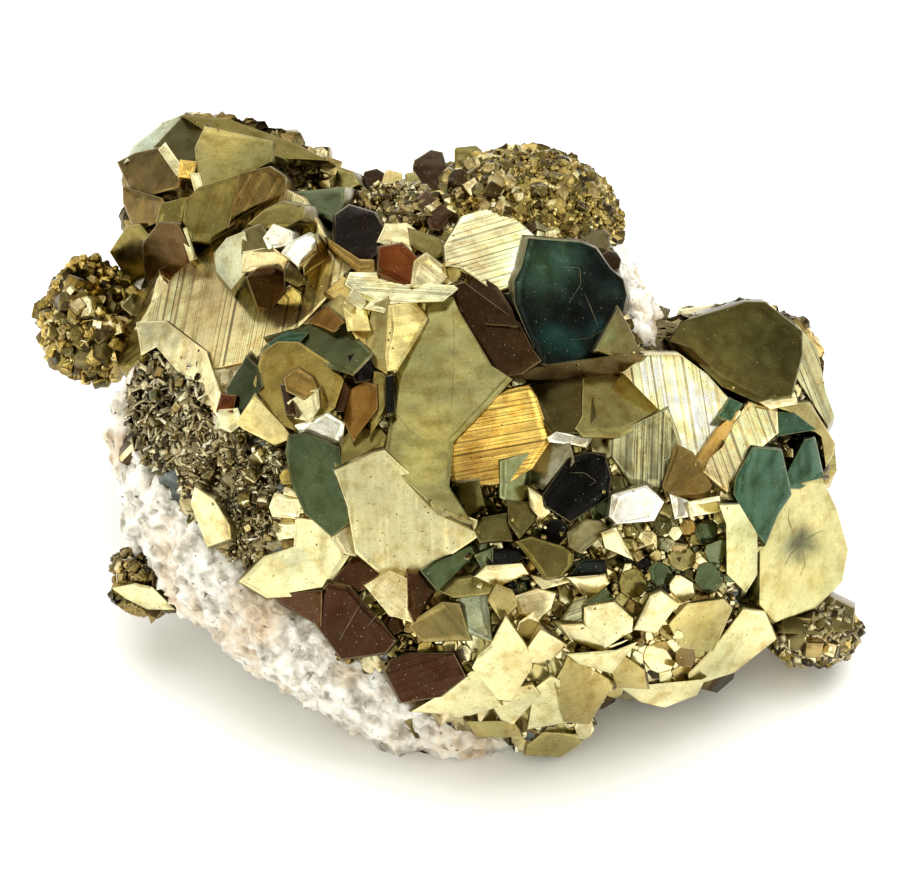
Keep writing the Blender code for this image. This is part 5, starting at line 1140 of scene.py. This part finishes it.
# Large crystals that stand among the druses: swell, centre across and up, spread, size, how many
DRUSES = [
    (DOME, 3.0, 22.4, 3.2, 2.2, 7), (DOME, 10.0, 19.6, 3.4, 2.3, 8), (DOME, 0.8, 21.4, 1.2, 1.9, 3),
    (BODY, -4.5, 20.4, 3.0, 2.0, 7), (KNOB, -30.2, 10.3, 3.3, 2.8, 9), (BODY, -23.6, 3.2, 3.0, 2.4, 7),
    (BODY, -17.5, -2.8, 3.4, 2.5, 8), (BODY, -16.0, -7.8, 2.0, 2.0, 4), (BODY, 16.6, -8.4, 2.2, 2.1, 5),
    (BODY, 19.8, -9.6, 2.6, 2.1, 5), (BODY, 15.4, -12.0, 2.2, 2.0, 4), (BODY, 20.6, -12.2, 2.0, 1.9, 3),
    (BODY, 9.2, -13.6, 1.4, 1.6, 2), (NODULE, 30.6, -15.6, 2.1, 2.2, 6),
    (RIGHT_CRYSTAL, 29.2, 0.2, 1.2, 1.5, 2), (BODY, 7.6, -6.0, 1.2, 1.5, 2),
]
CUBE_FINISHES = ("cream_gold", "khaki", "tan", "olive", "cream", "old_gold", "steel", "umber", "gold_pale")


def turned(axis, angle):
    """The turn by an angle about an axis: the axis kept, its square part eased and its cross part added."""
    x, y, z = axis / np.linalg.norm(axis)
    cross = np.array([[0, -z, y], [z, 0, -x], [-y, x, 0]])
    return np.eye(3) + math.sin(angle) * cross + (1 - math.cos(angle)) * (cross @ cross)


def any_turn(dice):
    """A turn drawn evenly over all directions."""
    axis = np.array([dice.gauss(0, 1), dice.gauss(0, 1), dice.gauss(0, 1)])
    return turned(axis, dice.uniform(0, math.tau))


def cube_ends(centre, size, turn, cut, spacing, dice):
    """A cube whose corners are cut off, as six ends with eight sides each and eight small corner ends."""
    half = size / 2
    kept = half * (1 - 2 * cut)
    square = [(half, -kept), (half, kept), (kept, half), (-kept, half), (-half, kept), (-half, -kept),
              (-kept, -half), (kept, -half)]
    finish = dice.choice(CUBE_FINISHES)
    made = []
    for axis in range(3):
        for sign in (1, -1):
            normal = turn[:, axis] * sign
            first = turn[:, (axis + 1) % 3]
            second = np.cross(normal, first)
            middle = centre + normal * half
            made.append(cap(middle, first, second, normal, square, (0, spacing, 0.8), finish, dice))
    side = half * 2 * cut * math.sqrt(2)
    reach = side / math.sqrt(3)
    triangle = [(reach * math.cos(k * math.tau / 3), reach * math.sin(k * math.tau / 3)) for k in range(3)]
    if side > 0.5:
        for corner in np.ndindex(2, 2, 2):
            signs = 1 - 2 * np.array(corner)
            normal = turn @ signs / math.sqrt(3)
            tip = turn @ (signs * np.array([half, half, kept]))
            middle = normal * (tip @ normal)
            first = tip - middle
            first = first / np.linalg.norm(first)
            second = np.cross(normal, first)
            made.append(cap(centre + middle, first, second, normal, triangle, None, finish, dice))
    return made


def cap(middle, first, second, normal, outline, lines, finish, dice):
    """One flat end of a free crystal, whose sides run in towards the crystal's own middle."""
    def surface(a, b, height):
        return middle + np.outer(a, first) + np.outer(b, second) + np.outer(height, normal)

    def root(points):
        centre = points.mean(axis=0)
        return centre + (points - centre) * 0.8 - normal * 0.5

    return crystal_end(outline, lines, finish, surface, root, dice)


draws = random.Random(DRUSE_SEED)
druse_cubes = []
for swell, across, up, spread, size, count in DRUSES:
    for i in range(count):
        angle = i * GOLDEN_ANGLE + draws.uniform(-0.3, 0.3)
        radius = spread * math.sqrt((i + 0.5) / count)
        u = across + radius * math.cos(angle)
        v = up + radius * math.sin(angle)
        w = swell_depth(swell, u, v) + draws.uniform(0.0, 0.6)
        nearer = 1 - w / VIEW_DISTANCE
        grown = size * draws.uniform(0.7, 1.25)
        w = min(w - LARGE_SUNK, most_out(np.array([u]), np.array([v]))[0] - 0.2)
        shown = 0.36 if swell is DOME or across < -15 else 0.6
        turn = any_turn(draws)
        if off_centre(swell, u, v) < 0.8:
            druse_cubes.append((in_space(u * nearer, v * nearer, w), grown * shown, turn))
rim = np.array(BODY_OUTLINE, float)
made = []
for i in range(RIM_COUNT):
    spot = ((i * GOLDEN_SHARE) % 1) * RIM_SIDES
    k = int(spot)
    u, v = rim[k] + (rim[k + 1] - rim[k]) * (spot - k)
    inward = draws.uniform(0.0, 0.30)
    u += (3 - u) * inward
    v += (-1 - v) * inward
    w = BODY[4] - BODY[5] * (v - BODY[1]) - draws.uniform(0.5, 4) - 13.5 * math.sqrt(inward)
    size = draws.uniform(3.2, 6.8)
    place = in_space(u, v, w)
    turn = any_turn(draws)
    cut = draws.uniform(0.14, 0.30)
    seen = in_view(place[None])
    before_quartz = 8 < seen[0][0] < 20.5 and 8 < seen[1][0] < 24
    over_top = seen[1][0] > 16.5 and seen[2][0] > -22
    if place[2] > RIM_FLOOR and not before_quartz and not over_top:
        made += cube_ends(place, size, turn, cut, 0.5, dice)
rim_crystals = mesh_piece("rim_crystals", *joined(made))
rim_crystals.data.materials.append(pyrite)
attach(rim_crystals, "root")
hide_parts("pyrite_cluster")

# The druses: crowds of bright crystals of 0.4 to 3 mm, cubes with bevelled edges and twelve-faced
# pyritohedra, that line the joints between the great faces and clothe the dome, the knob and the back.

PATCHES = [
    # swell, centre across and up, reach across and up, smallest and largest, how many, tones, sunk
    (DOME, 8.0, 20.2, 7.4, 4.4, 0.22, 0.6, 1200, GOLD_TONES, 0.85),
    (DOME, 3.2, 21.3, 4.2, 2.0, 0.7, 1.9, 34, DRUSE_TONES, 0.5),
    (BACK_GROUP, -14.2, 22.6, 4.6, 2.6, 0.7, 2.4, 90, DRUSE_TONES, 1.4),
    (KNOB, -30.0, 10.3, 4.2, 5.2, 0.5, 1.6, 190, GOLD_TONES, 1.05),
    (KNOB, -29.3, 9.5, 3.2, 4.4, 1.0, 2.6, 34, DRUSE_TONES, 1.1),
    (BODY, -4.6, 20.0, 3.6, 1.7, 0.35, 0.9, 230, DRUSE_TONES, 0.0),
    (BODY, -23.4, 3.0, 3.4, 5.2, 0.35, 1.3, 560, SPARKLING_TONES, 1.35),
    (BODY, -18.0, -3.0, 4.6, 5.0, 0.35, 1.4, 740, SPARKLING_TONES, 1.35),
    (BODY, -16.8, -8.0, 2.4, 3.0, 0.35, 1.2, 280, SPARKLING_TONES, 1.3),
    (BODY, 18.3, -9.0, 5.2, 4.6, 0.3, 1.0, 60, DRUSE_TONES, -0.5),
    (BODY, 14.0, -11.0, 3.2, 3.4, 0.3, 0.9, 24, DRUSE_TONES, -0.6),
    (BODY, 5.0, -8.5, 6.4, 5.0, 0.3, 0.9, 40, DRUSE_TONES, -0.3),
    (BODY, 3.0, -4.4, 2.2, 1.4, 0.3, 0.7, 16, ROUGH_TONES, -0.6),
    (BODY, 8.5, -16.0, 3.4, 2.4, 0.3, 0.9, 16, DRUSE_TONES, -0.3),
    (BODY, 20.0, -3.2, 3.2, 1.8, 0.3, 0.8, 20, DRUSE_TONES, -0.6),
    (BODY, 22.2, -9.6, 1.2, 3.2, 0.3, 0.8, 80, ROUGH_TONES, -0.5),
    (BODY, 27.4, 0.2, 2.6, 1.7, 0.3, 0.8, 40, DRUSE_TONES, -0.9),
    (BODY, 21.0, -13.5, 5.0, 1.6, 0.3, 0.8, 24, DRUSE_TONES, -0.3),
    (BODY, 14.8, 8.6, 1.4, 1.8, 0.3, 0.8, 90, ROUGH_TONES, -0.6),
    (NODULE, 30.6, -15.6, 3.8, 2.6, 0.3, 1.0, 320, SPARKLING_TONES, 0.95),
    (BODY, -9.5, 12.0, 3.4, 1.8, 0.3, 0.8, 40, GOLD_TONES, -0.5),
    (BODY, -5.6, -17.2, 4.6, 1.6, 0.3, 0.8, 40, ROUGH_TONES, -0.4),
]


def flat_sided(corners, normals):
    """The faces of a body given by its corners and the way each face looks: a face has the corners that
    lie farthest that way, in order round its middle. Faces come in sets with the same number of sides."""
    sets = {}
    for normal in np.array(normals, float):
        reach = corners @ normal
        face = np.flatnonzero(reach > reach.max() - 1e-4)
        spokes = corners[face] - corners[face].mean(axis=0)
        side = np.cross(normal, spokes[0])
        order = np.argsort(np.arctan2(spokes @ side / np.linalg.norm(side), spokes @ spokes[0]
                                      / np.linalg.norm(spokes[0])))
        sets.setdefault(len(face), []).append(face[order])
    return [np.array(faces) for faces in sets.values()]


def every_sign(point):
    """A point mirrored in every way, and with its coordinates moved round in turn."""
    signs = np.array([[x, y, z] for x in (-1, 1) for y in (-1, 1) for z in (-1, 1)])
    mirrored = np.unique(signs * np.array(point, float), axis=0)
    return np.unique(np.concatenate([np.roll(mirrored, k, axis=1) for k in range(3)]), axis=0)


BEVELLED = every_sign((0.5, 0.42, 0.42))
BEVELLED_SIDES = flat_sided(BEVELLED, np.concatenate([every_sign((1, 0, 0)), every_sign((1, 1, 0)),
                                                      every_sign((1, 1, 1))]))
TRUNCATED = every_sign((0.5, 0.5, 0.2))
TRUNCATED_SIDES = flat_sided(TRUNCATED, np.concatenate([every_sign((1, 0, 0)), every_sign((1, 1, 1))]))
TWELVE_FACED = np.concatenate([every_sign((1, 1, 1)), every_sign((0, 1.5, 0.75))]) * 0.4
TWELVE_SIDES = flat_sided(TWELVE_FACED, every_sign((0, 1, 0.5))[:, [0, 2, 1]])


def crowd(corners, sides, centres, sizes, turns, tones, rng):
    """Many copies of one small crystal, each with its own size and turn, and a tone for each face."""
    points = np.einsum("nij,kj->nki", turns, corners) * sizes[:, None, None] + centres[:, None]
    start = np.arange(len(centres)) * len(corners)
    sets = [(faces[None] + start[:, None, None]).reshape(-1, faces.shape[1]) for faces in sides]
    shades = []
    for faces in sides:
        crystal_share = rng.random((len(centres), 1)) * 0.55
        face_share = np.clip(crystal_share + rng.random((len(centres), len(faces))) * 0.45, 0, 1).ravel()
        shades.append(drawn_tones(tones, face_share) * rng.uniform(0.75, 1.2, len(face_share))[:, None])
    shades = np.clip(np.concatenate(shades), 0, 1)
    return points.reshape(-1, 3), sets, shades, rng.uniform(0.14, 0.34, len(shades))


def random_turns(rng, count):
    """Turns drawn evenly over all directions, from unit quaternions."""
    w, x, y, z = (lambda four: four / np.linalg.norm(four, axis=0))(rng.normal(size=(4, count)))
    turns = np.stack([1 - 2 * (y * y + z * z), 2 * (x * y - w * z), 2 * (x * z + w * y),
                      2 * (x * y + w * z), 1 - 2 * (x * x + z * z), 2 * (y * z - w * x),
                      2 * (x * z - w * y), 2 * (y * z + w * x), 1 - 2 * (x * x + y * y)], axis=1)
    return turns.reshape(-1, 3, 3)


def mixed_crowd(centres, sizes, tones, rng, shares=(1, 1, 1)):
    """A crowd of crystals of three shapes, shared out by turns, with set shares of their length, width and
    height."""
    turns = random_turns(rng, len(centres))
    made = []
    for k, (corners, sides) in enumerate(((BEVELLED, BEVELLED_SIDES), (TRUNCATED, TRUNCATED_SIDES),
                                          (TWELVE_FACED, TWELVE_SIDES))):
        corners = corners * np.array(shares)
        made.append(crowd(corners, sides, centres[k::3], sizes[k::3], turns[k::3], tones, rng))
    return made


# Broken pyrite has flakes in place of cubes: their length, width and height as shares of the size
SHARDS = (1.35, 0.85, 0.26)

rng = np.random.default_rng(5)
crowds = []
for swell, across, up, wide, high, smallest, largest, count, tones, sunk in PATCHES:
    radius = np.sqrt(rng.random(count))
    angle = rng.random(count) * math.tau
    u = across + wide * radius * np.cos(angle)
    v = up + high * radius * np.sin(angle)
    sizes = smallest + (largest - smallest) * rng.random(count) ** 2
    w = np.minimum(swell_depth(swell, u, v) - sunk, most_out(u, v) + 0.35) - 0.25 * sizes
    on_swell = off_centre(swell, u, v) < 0.96
    centres = seen_at(u, v, w)[on_swell]
    broken = swell is BODY and tones is SPARKLING_TONES
    crowds += mixed_crowd(centres, sizes[on_swell], tones, rng, SHARDS if broken else (1, 1, 1))
druses = mesh_piece("druses", *joined(crowds))
druses.data.materials.append(pyrite)
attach(druses, "root")
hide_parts("pyrite_cluster")

crowds = [crowd(BEVELLED, BEVELLED_SIDES, *(np.array([cube[k] for cube in druse_cubes]) for k in range(3)),
                DRUSE_TONES, rng)]
for finish, lines, *stance in CRYSTAL_FACES:
    surface = view_plane(*stance)
    picture = np.array(stance[-1], float)
    following = np.roll(picture, -1, axis=0)
    lengths = np.hypot(*(following - picture).T)
    count = int(lengths.sum() * 0.45)
    spots = np.sort(rng.random(count)) * lengths.sum()
    side = np.searchsorted(np.cumsum(lengths), spots)
    share = rng.random(count)[:, None]
    spots = picture[side] * (1 - share) + following[side] * share
    spots = spots + (spots - picture.mean(axis=0)) * 0.03
    sizes = 0.12 + 0.22 * rng.random(count) ** 2
    centres = surface(*spots.T, -0.15 - 0.3 * rng.random(count))
    crowds += mixed_crowd(centres, sizes, ROUGH_TONES if stance[0] is BODY else GOLD_TONES, rng)
joint_crystals = mesh_piece("joint_crystals", *joined(crowds))
joint_crystals.data.materials.append(pyrite)
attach(joint_crystals, "root")
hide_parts("pyrite_cluster")

# The crust on the sides and the back: crystals of 0.7 to 5 mm set in the mass wherever the great faces
# leave it bare, most of them small, with a few large ones that stand out.

CRUST_CRYSTALS = 2000
CRUST_FLOOR = 3.0
TURNED_AWAY = 0.12
TOWARDS_VIEWER = -BACKWARDS

hidden = mass_normals @ TOWARDS_VIEWER < TURNED_AWAY
clear_of_table = mass_points[:, 2] > CRUST_FLOOR
over_bare_quartz = (np.abs(mass_view[:, 0] - 15) < 6) & (np.abs(mass_view[:, 1] - 15.5) < 8.5)
spots = np.flatnonzero(hidden & clear_of_table & ~over_bare_quartz)
chosen = rng.choice(spots, CRUST_CRYSTALS)
sizes = 0.7 + 4.0 * rng.random(CRUST_CRYSTALS) ** 5
centres = mass_points[chosen] - mass_normals[chosen] * (0.15 * sizes)[:, None]
crust = mesh_piece("crust_crystals", *joined(mixed_crowd(centres, sizes, DRUSE_TONES, rng)))
crust.data.materials.append(pyrite)
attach(crust, "root")
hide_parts("pyrite_cluster")

# The crystals between the great faces: wherever no face reaches, the ends of smaller crystals fill the room
# that is left, each one flat and cut off by its neighbours, as crystals are that grow against each other.

FILL_SPACING = 0.42
FILL_SMALLEST = 0.16
FILL_LARGEST = 1.25
FILL_TILT = 0.34
FILL_DEPTH = 2.2
FILL_OVERHANG = 0.45
MOST_FILLED = 1000
LEFT_OF_MIDDLE = 1
MIDDLE_TOP = -3
LOWER_TOP = -12.5
# Finishes of the small ends low on the right, in the middle, and elsewhere
LOWER_FINISHES = (
    "cream_flat", "tan_cream", "cream", "tan", "white_cream", "khaki", "cream_gold", "umber",
)
MIDDLE_FINISHES = (
    "dark_olive", "green", "cream", "cream_gold", "black", "olive", "steel", "cream", "sage", "tan",
    "white_cream", "amber",
)
OTHER_FINISHES = (
    "olive", "umber", "cream_gold", "khaki", "dark_brown", "gold_pale", "steel", "old_gold", "bright",
)


def clipped(outline, point, normal):
    """The part of a convex outline that lies behind the line through a point, across a normal."""
    side = (outline - point) @ normal
    kept = []
    for k in range(len(outline)):
        if (side[k - 1] < 0) != (side[k] < 0):
            step = outline[k] - outline[k - 1]
            kept.append(outline[k - 1] + step * side[k - 1] / (side[k - 1] - side[k]))
        if side[k] < 0:
            kept.append(outline[k])
    return np.array(kept)


def small_end(k, spots, radii, dice):
    """The end of one small crystal: cut off between itself and each neighbour, and laid so low that no
    corner stands above what the great faces allow."""
    ring = np.arange(8) * math.tau / 8 + dice.uniform(0, 0.7)
    outline = spots[k] + (radii[k] * 1.5 + FILL_OVERHANG) * np.column_stack([np.cos(ring), np.sin(ring)])
    way = spots - spots[k]
    gap = np.hypot(*way.T)
    for n in np.flatnonzero((gap > 0) & (gap < radii[k] * 3 + 3)):
        cut = spots[k] + way[n] * radii[k] / (radii[k] + radii[n])
        outline = clipped(outline, cut, way[n])
    outline = outline[np.hypot(*(outline - np.roll(outline, 1, axis=0)).T) > 0.04]
    tilt = [dice.gauss(0, FILL_TILT), dice.gauss(0, FILL_TILT)]
    slope, level = face_plane(BODY, *tilt, 1.0, outline)
    over = ((level + outline @ slope) - most_out(*outline.T)).max()
    surface = view_plane(BODY, *tilt, 1.0 - max(over, 0) - dice.uniform(0, 0.25), outline)
    across, up = spots[k]
    low = up < LOWER_TOP and across > LEFT_OF_MIDDLE
    middle = LOWER_TOP <= up < MIDDLE_TOP and across > LEFT_OF_MIDDLE
    finish = dice.choice(LOWER_FINISHES if low else MIDDLE_FINISHES if middle else OTHER_FINISHES)
    lines = (dice.uniform(0, 180), 0.3, 0.6) if dice.random() < 0.3 else None
    return crystal_end(outline, lines, finish, surface, small_root, dice)


def small_root(points):
    """The root of a small crystal's end, straight behind it."""
    return points + BACKWARDS * FILL_DEPTH


cells = np.mgrid[-29:33:FILL_SPACING, -25:24:FILL_SPACING].reshape(2, -1).T
cells = cells + rng.uniform(-0.15, 0.15, cells.shape)
u, v = cells.T
on_pyrite = (distance_outside(cells, BODY_OUTLINE) == 0) & (past_edge(u, v) > 1.4)
off_broken = (u > -13.5) | (v > 10)
over_quartz = (np.abs(u - 15.8) < 2.4) & (np.abs(v - 13.5) < 6)
by_dome = (u > 8.5) & (v > 15.5)
by_quartz = (u > 14) & (v > 8)
cells = cells[on_pyrite & off_broken & ~over_quartz & ~by_dome & ~by_quartz]
room = np.min([distance_outside(cells, face[-1]) for face in CRYSTAL_FACES], axis=0) - 0.1
spots = []
radii = []
while room.max() > FILL_SMALLEST and len(spots) < MOST_FILLED:
    k = room.argmax()
    radius = min(room[k], FILL_LARGEST) * rng.uniform(0.6, 1.0)
    spots.append(cells[k])
    radii.append(radius)
    room = np.minimum(room, np.hypot(*(cells - cells[k]).T) - radius)
spots = np.array(spots)
radii = np.array(radii)
made = [small_end(k, spots, radii, dice) for k in range(len(spots))]
filling = mesh_piece("filling_crystals", *joined(made))
filling.data.materials.append(pyrite)
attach(filling, "root")
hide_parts("pyrite_cluster")

# The lone crystal low on the left: a small knot of pyrite that grew out of the quartz by itself, with three
# flat faces and a rough top.

KNOT_COUNT = 110
KNOT_CENTRE = (-26.0, -10.0)
KNOT_REACH = (2.4, 1.4)
CORNER_FACES = [
    ("olive_rough", None, CORNER, -0.2, 0.4, 0.3, [(-28.5, -10.6), (-27.9, -9.4), (-26.5, -8.8),
     (-24.9, -10.6), (-26.2, -11.6)]),
    ("cream_flat", None, CORNER, 0, -0.3, 0.4, [(-28.2, -12), (-26.2, -11.6), (-24.8, -11.9),
     (-22.9, -13.8), (-25.2, -13.8), (-27, -12.9)]),
    ("dark_brown", None, CORNER, 0.5, 0, 0.3, [(-24.9, -10.6), (-24, -10.5), (-21.9, -12.9),
     (-22.2, -14.3), (-23.6, -12.6), (-24.8, -11.9)]),
]

ends = []
for finish, lines, *stance in CORNER_FACES:
    ends.append(crystal_end(stance[-1], lines, finish, view_plane(*stance), small_root, dice))
points, faces = swell_body(CORNER, 1.7, 0.82, 60, 90)
points, shades = rough_crust(points, faces, 0.7, ROUGH_TONES, 700)
knot = [(points, faces, shades, np.full(len(shades), 0.3))]
angle = rng.random(KNOT_COUNT) * math.tau
radius = np.sqrt(rng.random(KNOT_COUNT))
u = KNOT_CENTRE[0] + KNOT_REACH[0] * radius * np.cos(angle)
v = KNOT_CENTRE[1] + KNOT_REACH[1] * radius * np.sin(angle)
w = swell_depth(CORNER, u, v) - 0.9
sizes = 0.35 + 0.6 * rng.random(KNOT_COUNT) ** 2
knot += mixed_crowd(seen_at(u, v, w), sizes, ROUGH_TONES, rng)
corner = mesh_piece("corner_crystal", *joined(ends + knot))
corner.data.materials.append(pyrite)
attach(corner, "root")
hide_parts("pyrite_corner_crystal")

# Hair scratches and threads of dust: fine bright lines that lie across the darker faces, and fine dark
# cracks in the pale face at the right end.

HAIR_THICKNESS = 0.014
HAIR_RINGS = 22
CRACKS_FROM = 28
THREAD_TONE = daylight(176, 170, 140)
CRACK_TONE = daylight(84, 70, 48)
# Routes in the view, each on the face that holds its first point. Right of CRACKS_FROM they are dark cracks.
HAIRS = [
    ((9.3, 14.7), (10.8, 14.7), (10.9, 13.3), (9.9, 11.7)),
    ((11.2, 12.6), (11.8, 11.2), (12.4, 9.6)),
    ((10.0, 8.7), (11.6, 8.8), (13.2, 9.8)),
    ((9.9, -2.4), (11.2, -2.4), (12.2, -3.1), (11.6, -3.5)),
    ((-9.3, -16.5), (-7.4, -13.2)),
    ((-6.9, -15.2), (-5.9, -14.0)),
    ((-4.7, 2.8), (-3.4, 1.2), (-2.0, 0.2)),
    ((0.2, 12.0), (0.35, 8.0), (0.1, 3.0)),
    ((0.9, 11.6), (0.75, 7.0), (0.9, 4.0)),
    ((2.7, -2.5), (3.1, -0.4), (3.5, 1.2), (3.9, 2.9)),
    ((29.2, -8.4), (28.4, -9.2), (27.9, -10.2)),
    ((29.6, -8.0), (30.6, -7.4), (31.2, -7.2)),
    ((28.6, -7.4), (28.2, -6.2), (28.3, -5.4)),
    ((29.4, -8.8), (29.6, -10.0), (29.2, -11.0)),
]


def hair(surface, route, thickness):
    """A thread along a smooth route: a ring of four points carried along it, thinner at both ends."""
    route = np.array(route, float)
    length = np.concatenate([[0], np.cumsum(np.hypot(*np.diff(route, axis=0).T))])
    steps = np.linspace(0, length[-1], HAIR_RINGS)
    u = np.interp(steps, length, route[:, 0])
    v = np.interp(steps, length, route[:, 1])
    heading = np.arctan2(np.gradient(v), np.gradient(u))
    radius = thickness * np.sqrt(np.clip(np.sin(np.linspace(0.12, math.pi - 0.12, HAIR_RINGS)), 0, 1))
    ring = np.arange(4) * math.tau / 4
    side = radius[:, None] * np.cos(ring)
    a = u[:, None] - side * np.sin(heading)[:, None]
    b = v[:, None] + side * np.cos(heading)[:, None]
    height = 0.05 + radius[:, None] * np.sin(ring)
    points = surface(a.ravel(), b.ravel(), height.ravel())
    i = np.arange(HAIR_RINGS - 1)[:, None] * 4
    j = np.arange(4)[None, :]
    k = (j + 1) % 4
    quads = np.stack([i + j, i + k, i + 4 + k, i + 4 + j], axis=-1).reshape(-1, 4)
    last = 4 * (HAIR_RINGS - 1)
    ends = np.array([[3, 2, 1, 0], [last, last + 1, last + 2, last + 3]])
    return points, [quads, ends]


def crossing_face(point):
    """The listed face whose outline holds a picture point. Where several do, the one that stands nearest
    the viewer is meant."""
    best = None
    for finish, lines, *stance in CRYSTAL_FACES:
        if distance_outside(np.array([point]), stance[-1])[0] == 0:
            surface = view_plane(*stance)
            near = surface(np.array([point[0]]), np.array([point[1]]), np.zeros(1))[0] @ TOWARDS_VIEWER
            if best is None or near > best[0]:
                best = (near, surface)
    return best and best[1]


threads = []
for route in HAIRS:
    surface = crossing_face(route[0]) or crossing_face(route[1])
    points, faces = hair(surface, route, HAIR_THICKNESS)
    count = sum(len(f) for f in faces)
    tone = CRACK_TONE if route[0][0] > CRACKS_FROM else THREAD_TONE
    threads.append((points, faces, np.tile(tone, (count, 1)), np.full(count, 0.4)))
hairs = mesh_piece("hair_lines", *joined(threads))
hairs.data.materials.append(pyrite)
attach(hairs, "root")

# The table and the light: a plain white top under a broad soft light, as in a light tent, open towards the
# viewer, whose darker side the mirror faces show.

HALF_FLOOR = 800.0


def floor_material():
    """Matt white paper."""
    material, tree, shader, place = node_material("white_table")
    paper = ramp(tree, noise(tree, place, 40.0), (0.0, (0.93, 0.93, 0.925)), (1.0, (0.95, 0.95, 0.945)))
    tree.links.new(paper, shader.inputs["Base Color"])
    shader.inputs["Roughness"].default_value = 0.9
    shader.inputs["Specular IOR Level"].default_value = 0.1
    return material


corners = np.array([[-1, -1, 0], [1, -1, 0], [1, 1, 0], [-1, 1, 0]]) * HALF_FLOOR
floor = mesh_piece("table_top", corners, [np.array([[0, 1, 2, 3]])])
floor.data.materials.append(floor_material())


def soft_light(name, place, size, power):
    """A square panel of light that faces the specimen."""
    light = bpy.data.lights.new(name, "AREA")
    light.size = size
    light.energy = power
    obj = bpy.data.objects.new(name, light)
    obj.location = place
    aim = -np.array(place)
    tip = math.atan2(math.hypot(aim[0], aim[1]), -aim[2])
    obj.rotation_euler = (tip, 0, math.atan2(aim[1], aim[0]) - math.pi / 2)
    bpy.context.scene.collection.objects.link(obj)
    return obj


overhead = soft_light("overhead", (0.05, 0.25, 0.75), 1.0, 9.0)
overhead.visible_glossy = False

world = bpy.data.worlds.new("light_tent")
bpy.context.scene.world = world
world.use_nodes = True
tree = world.node_tree
background = tree.nodes["Background"]
direction = tree.nodes.new("ShaderNodeTexCoord").outputs["Generated"]
towards = tree.nodes.new("ShaderNodeVectorMath")
towards.operation = "DOT_PRODUCT"
towards.inputs[1].default_value = tuple(float(x) for x in TOWARDS_VIEWER)
tree.links.new(direction, towards.inputs[0])
tent = ramp(tree, towards.outputs["Value"], (0.0, (1.0, 0.995, 0.93)), (0.60, (1.0, 0.99, 0.93)),
            (0.86, (0.94, 0.93, 0.86)), (0.97, (0.78, 0.77, 0.70)))
seams = tree.nodes.new("ShaderNodeTexNoise")
seams.inputs["Scale"].default_value = 2.6
seams.inputs["Detail"].default_value = 1.0
tree.links.new(direction, seams.inputs["Vector"])
panes = ramp(tree, seams.outputs["Fac"], (0.36, (0.48, 0.47, 0.43)), (0.47, (0.95, 0.95, 0.94)),
             (0.57, (1.30, 1.30, 1.28)), (0.68, (2.4, 2.4, 2.3)))
tree.links.new(blend_colours(tree, 1.0, tent, panes, "MULTIPLY"), background.inputs["Color"])
background.inputs["Strength"].default_value = 1.05
bpy.context.scene.view_settings.view_transform = "Standard"
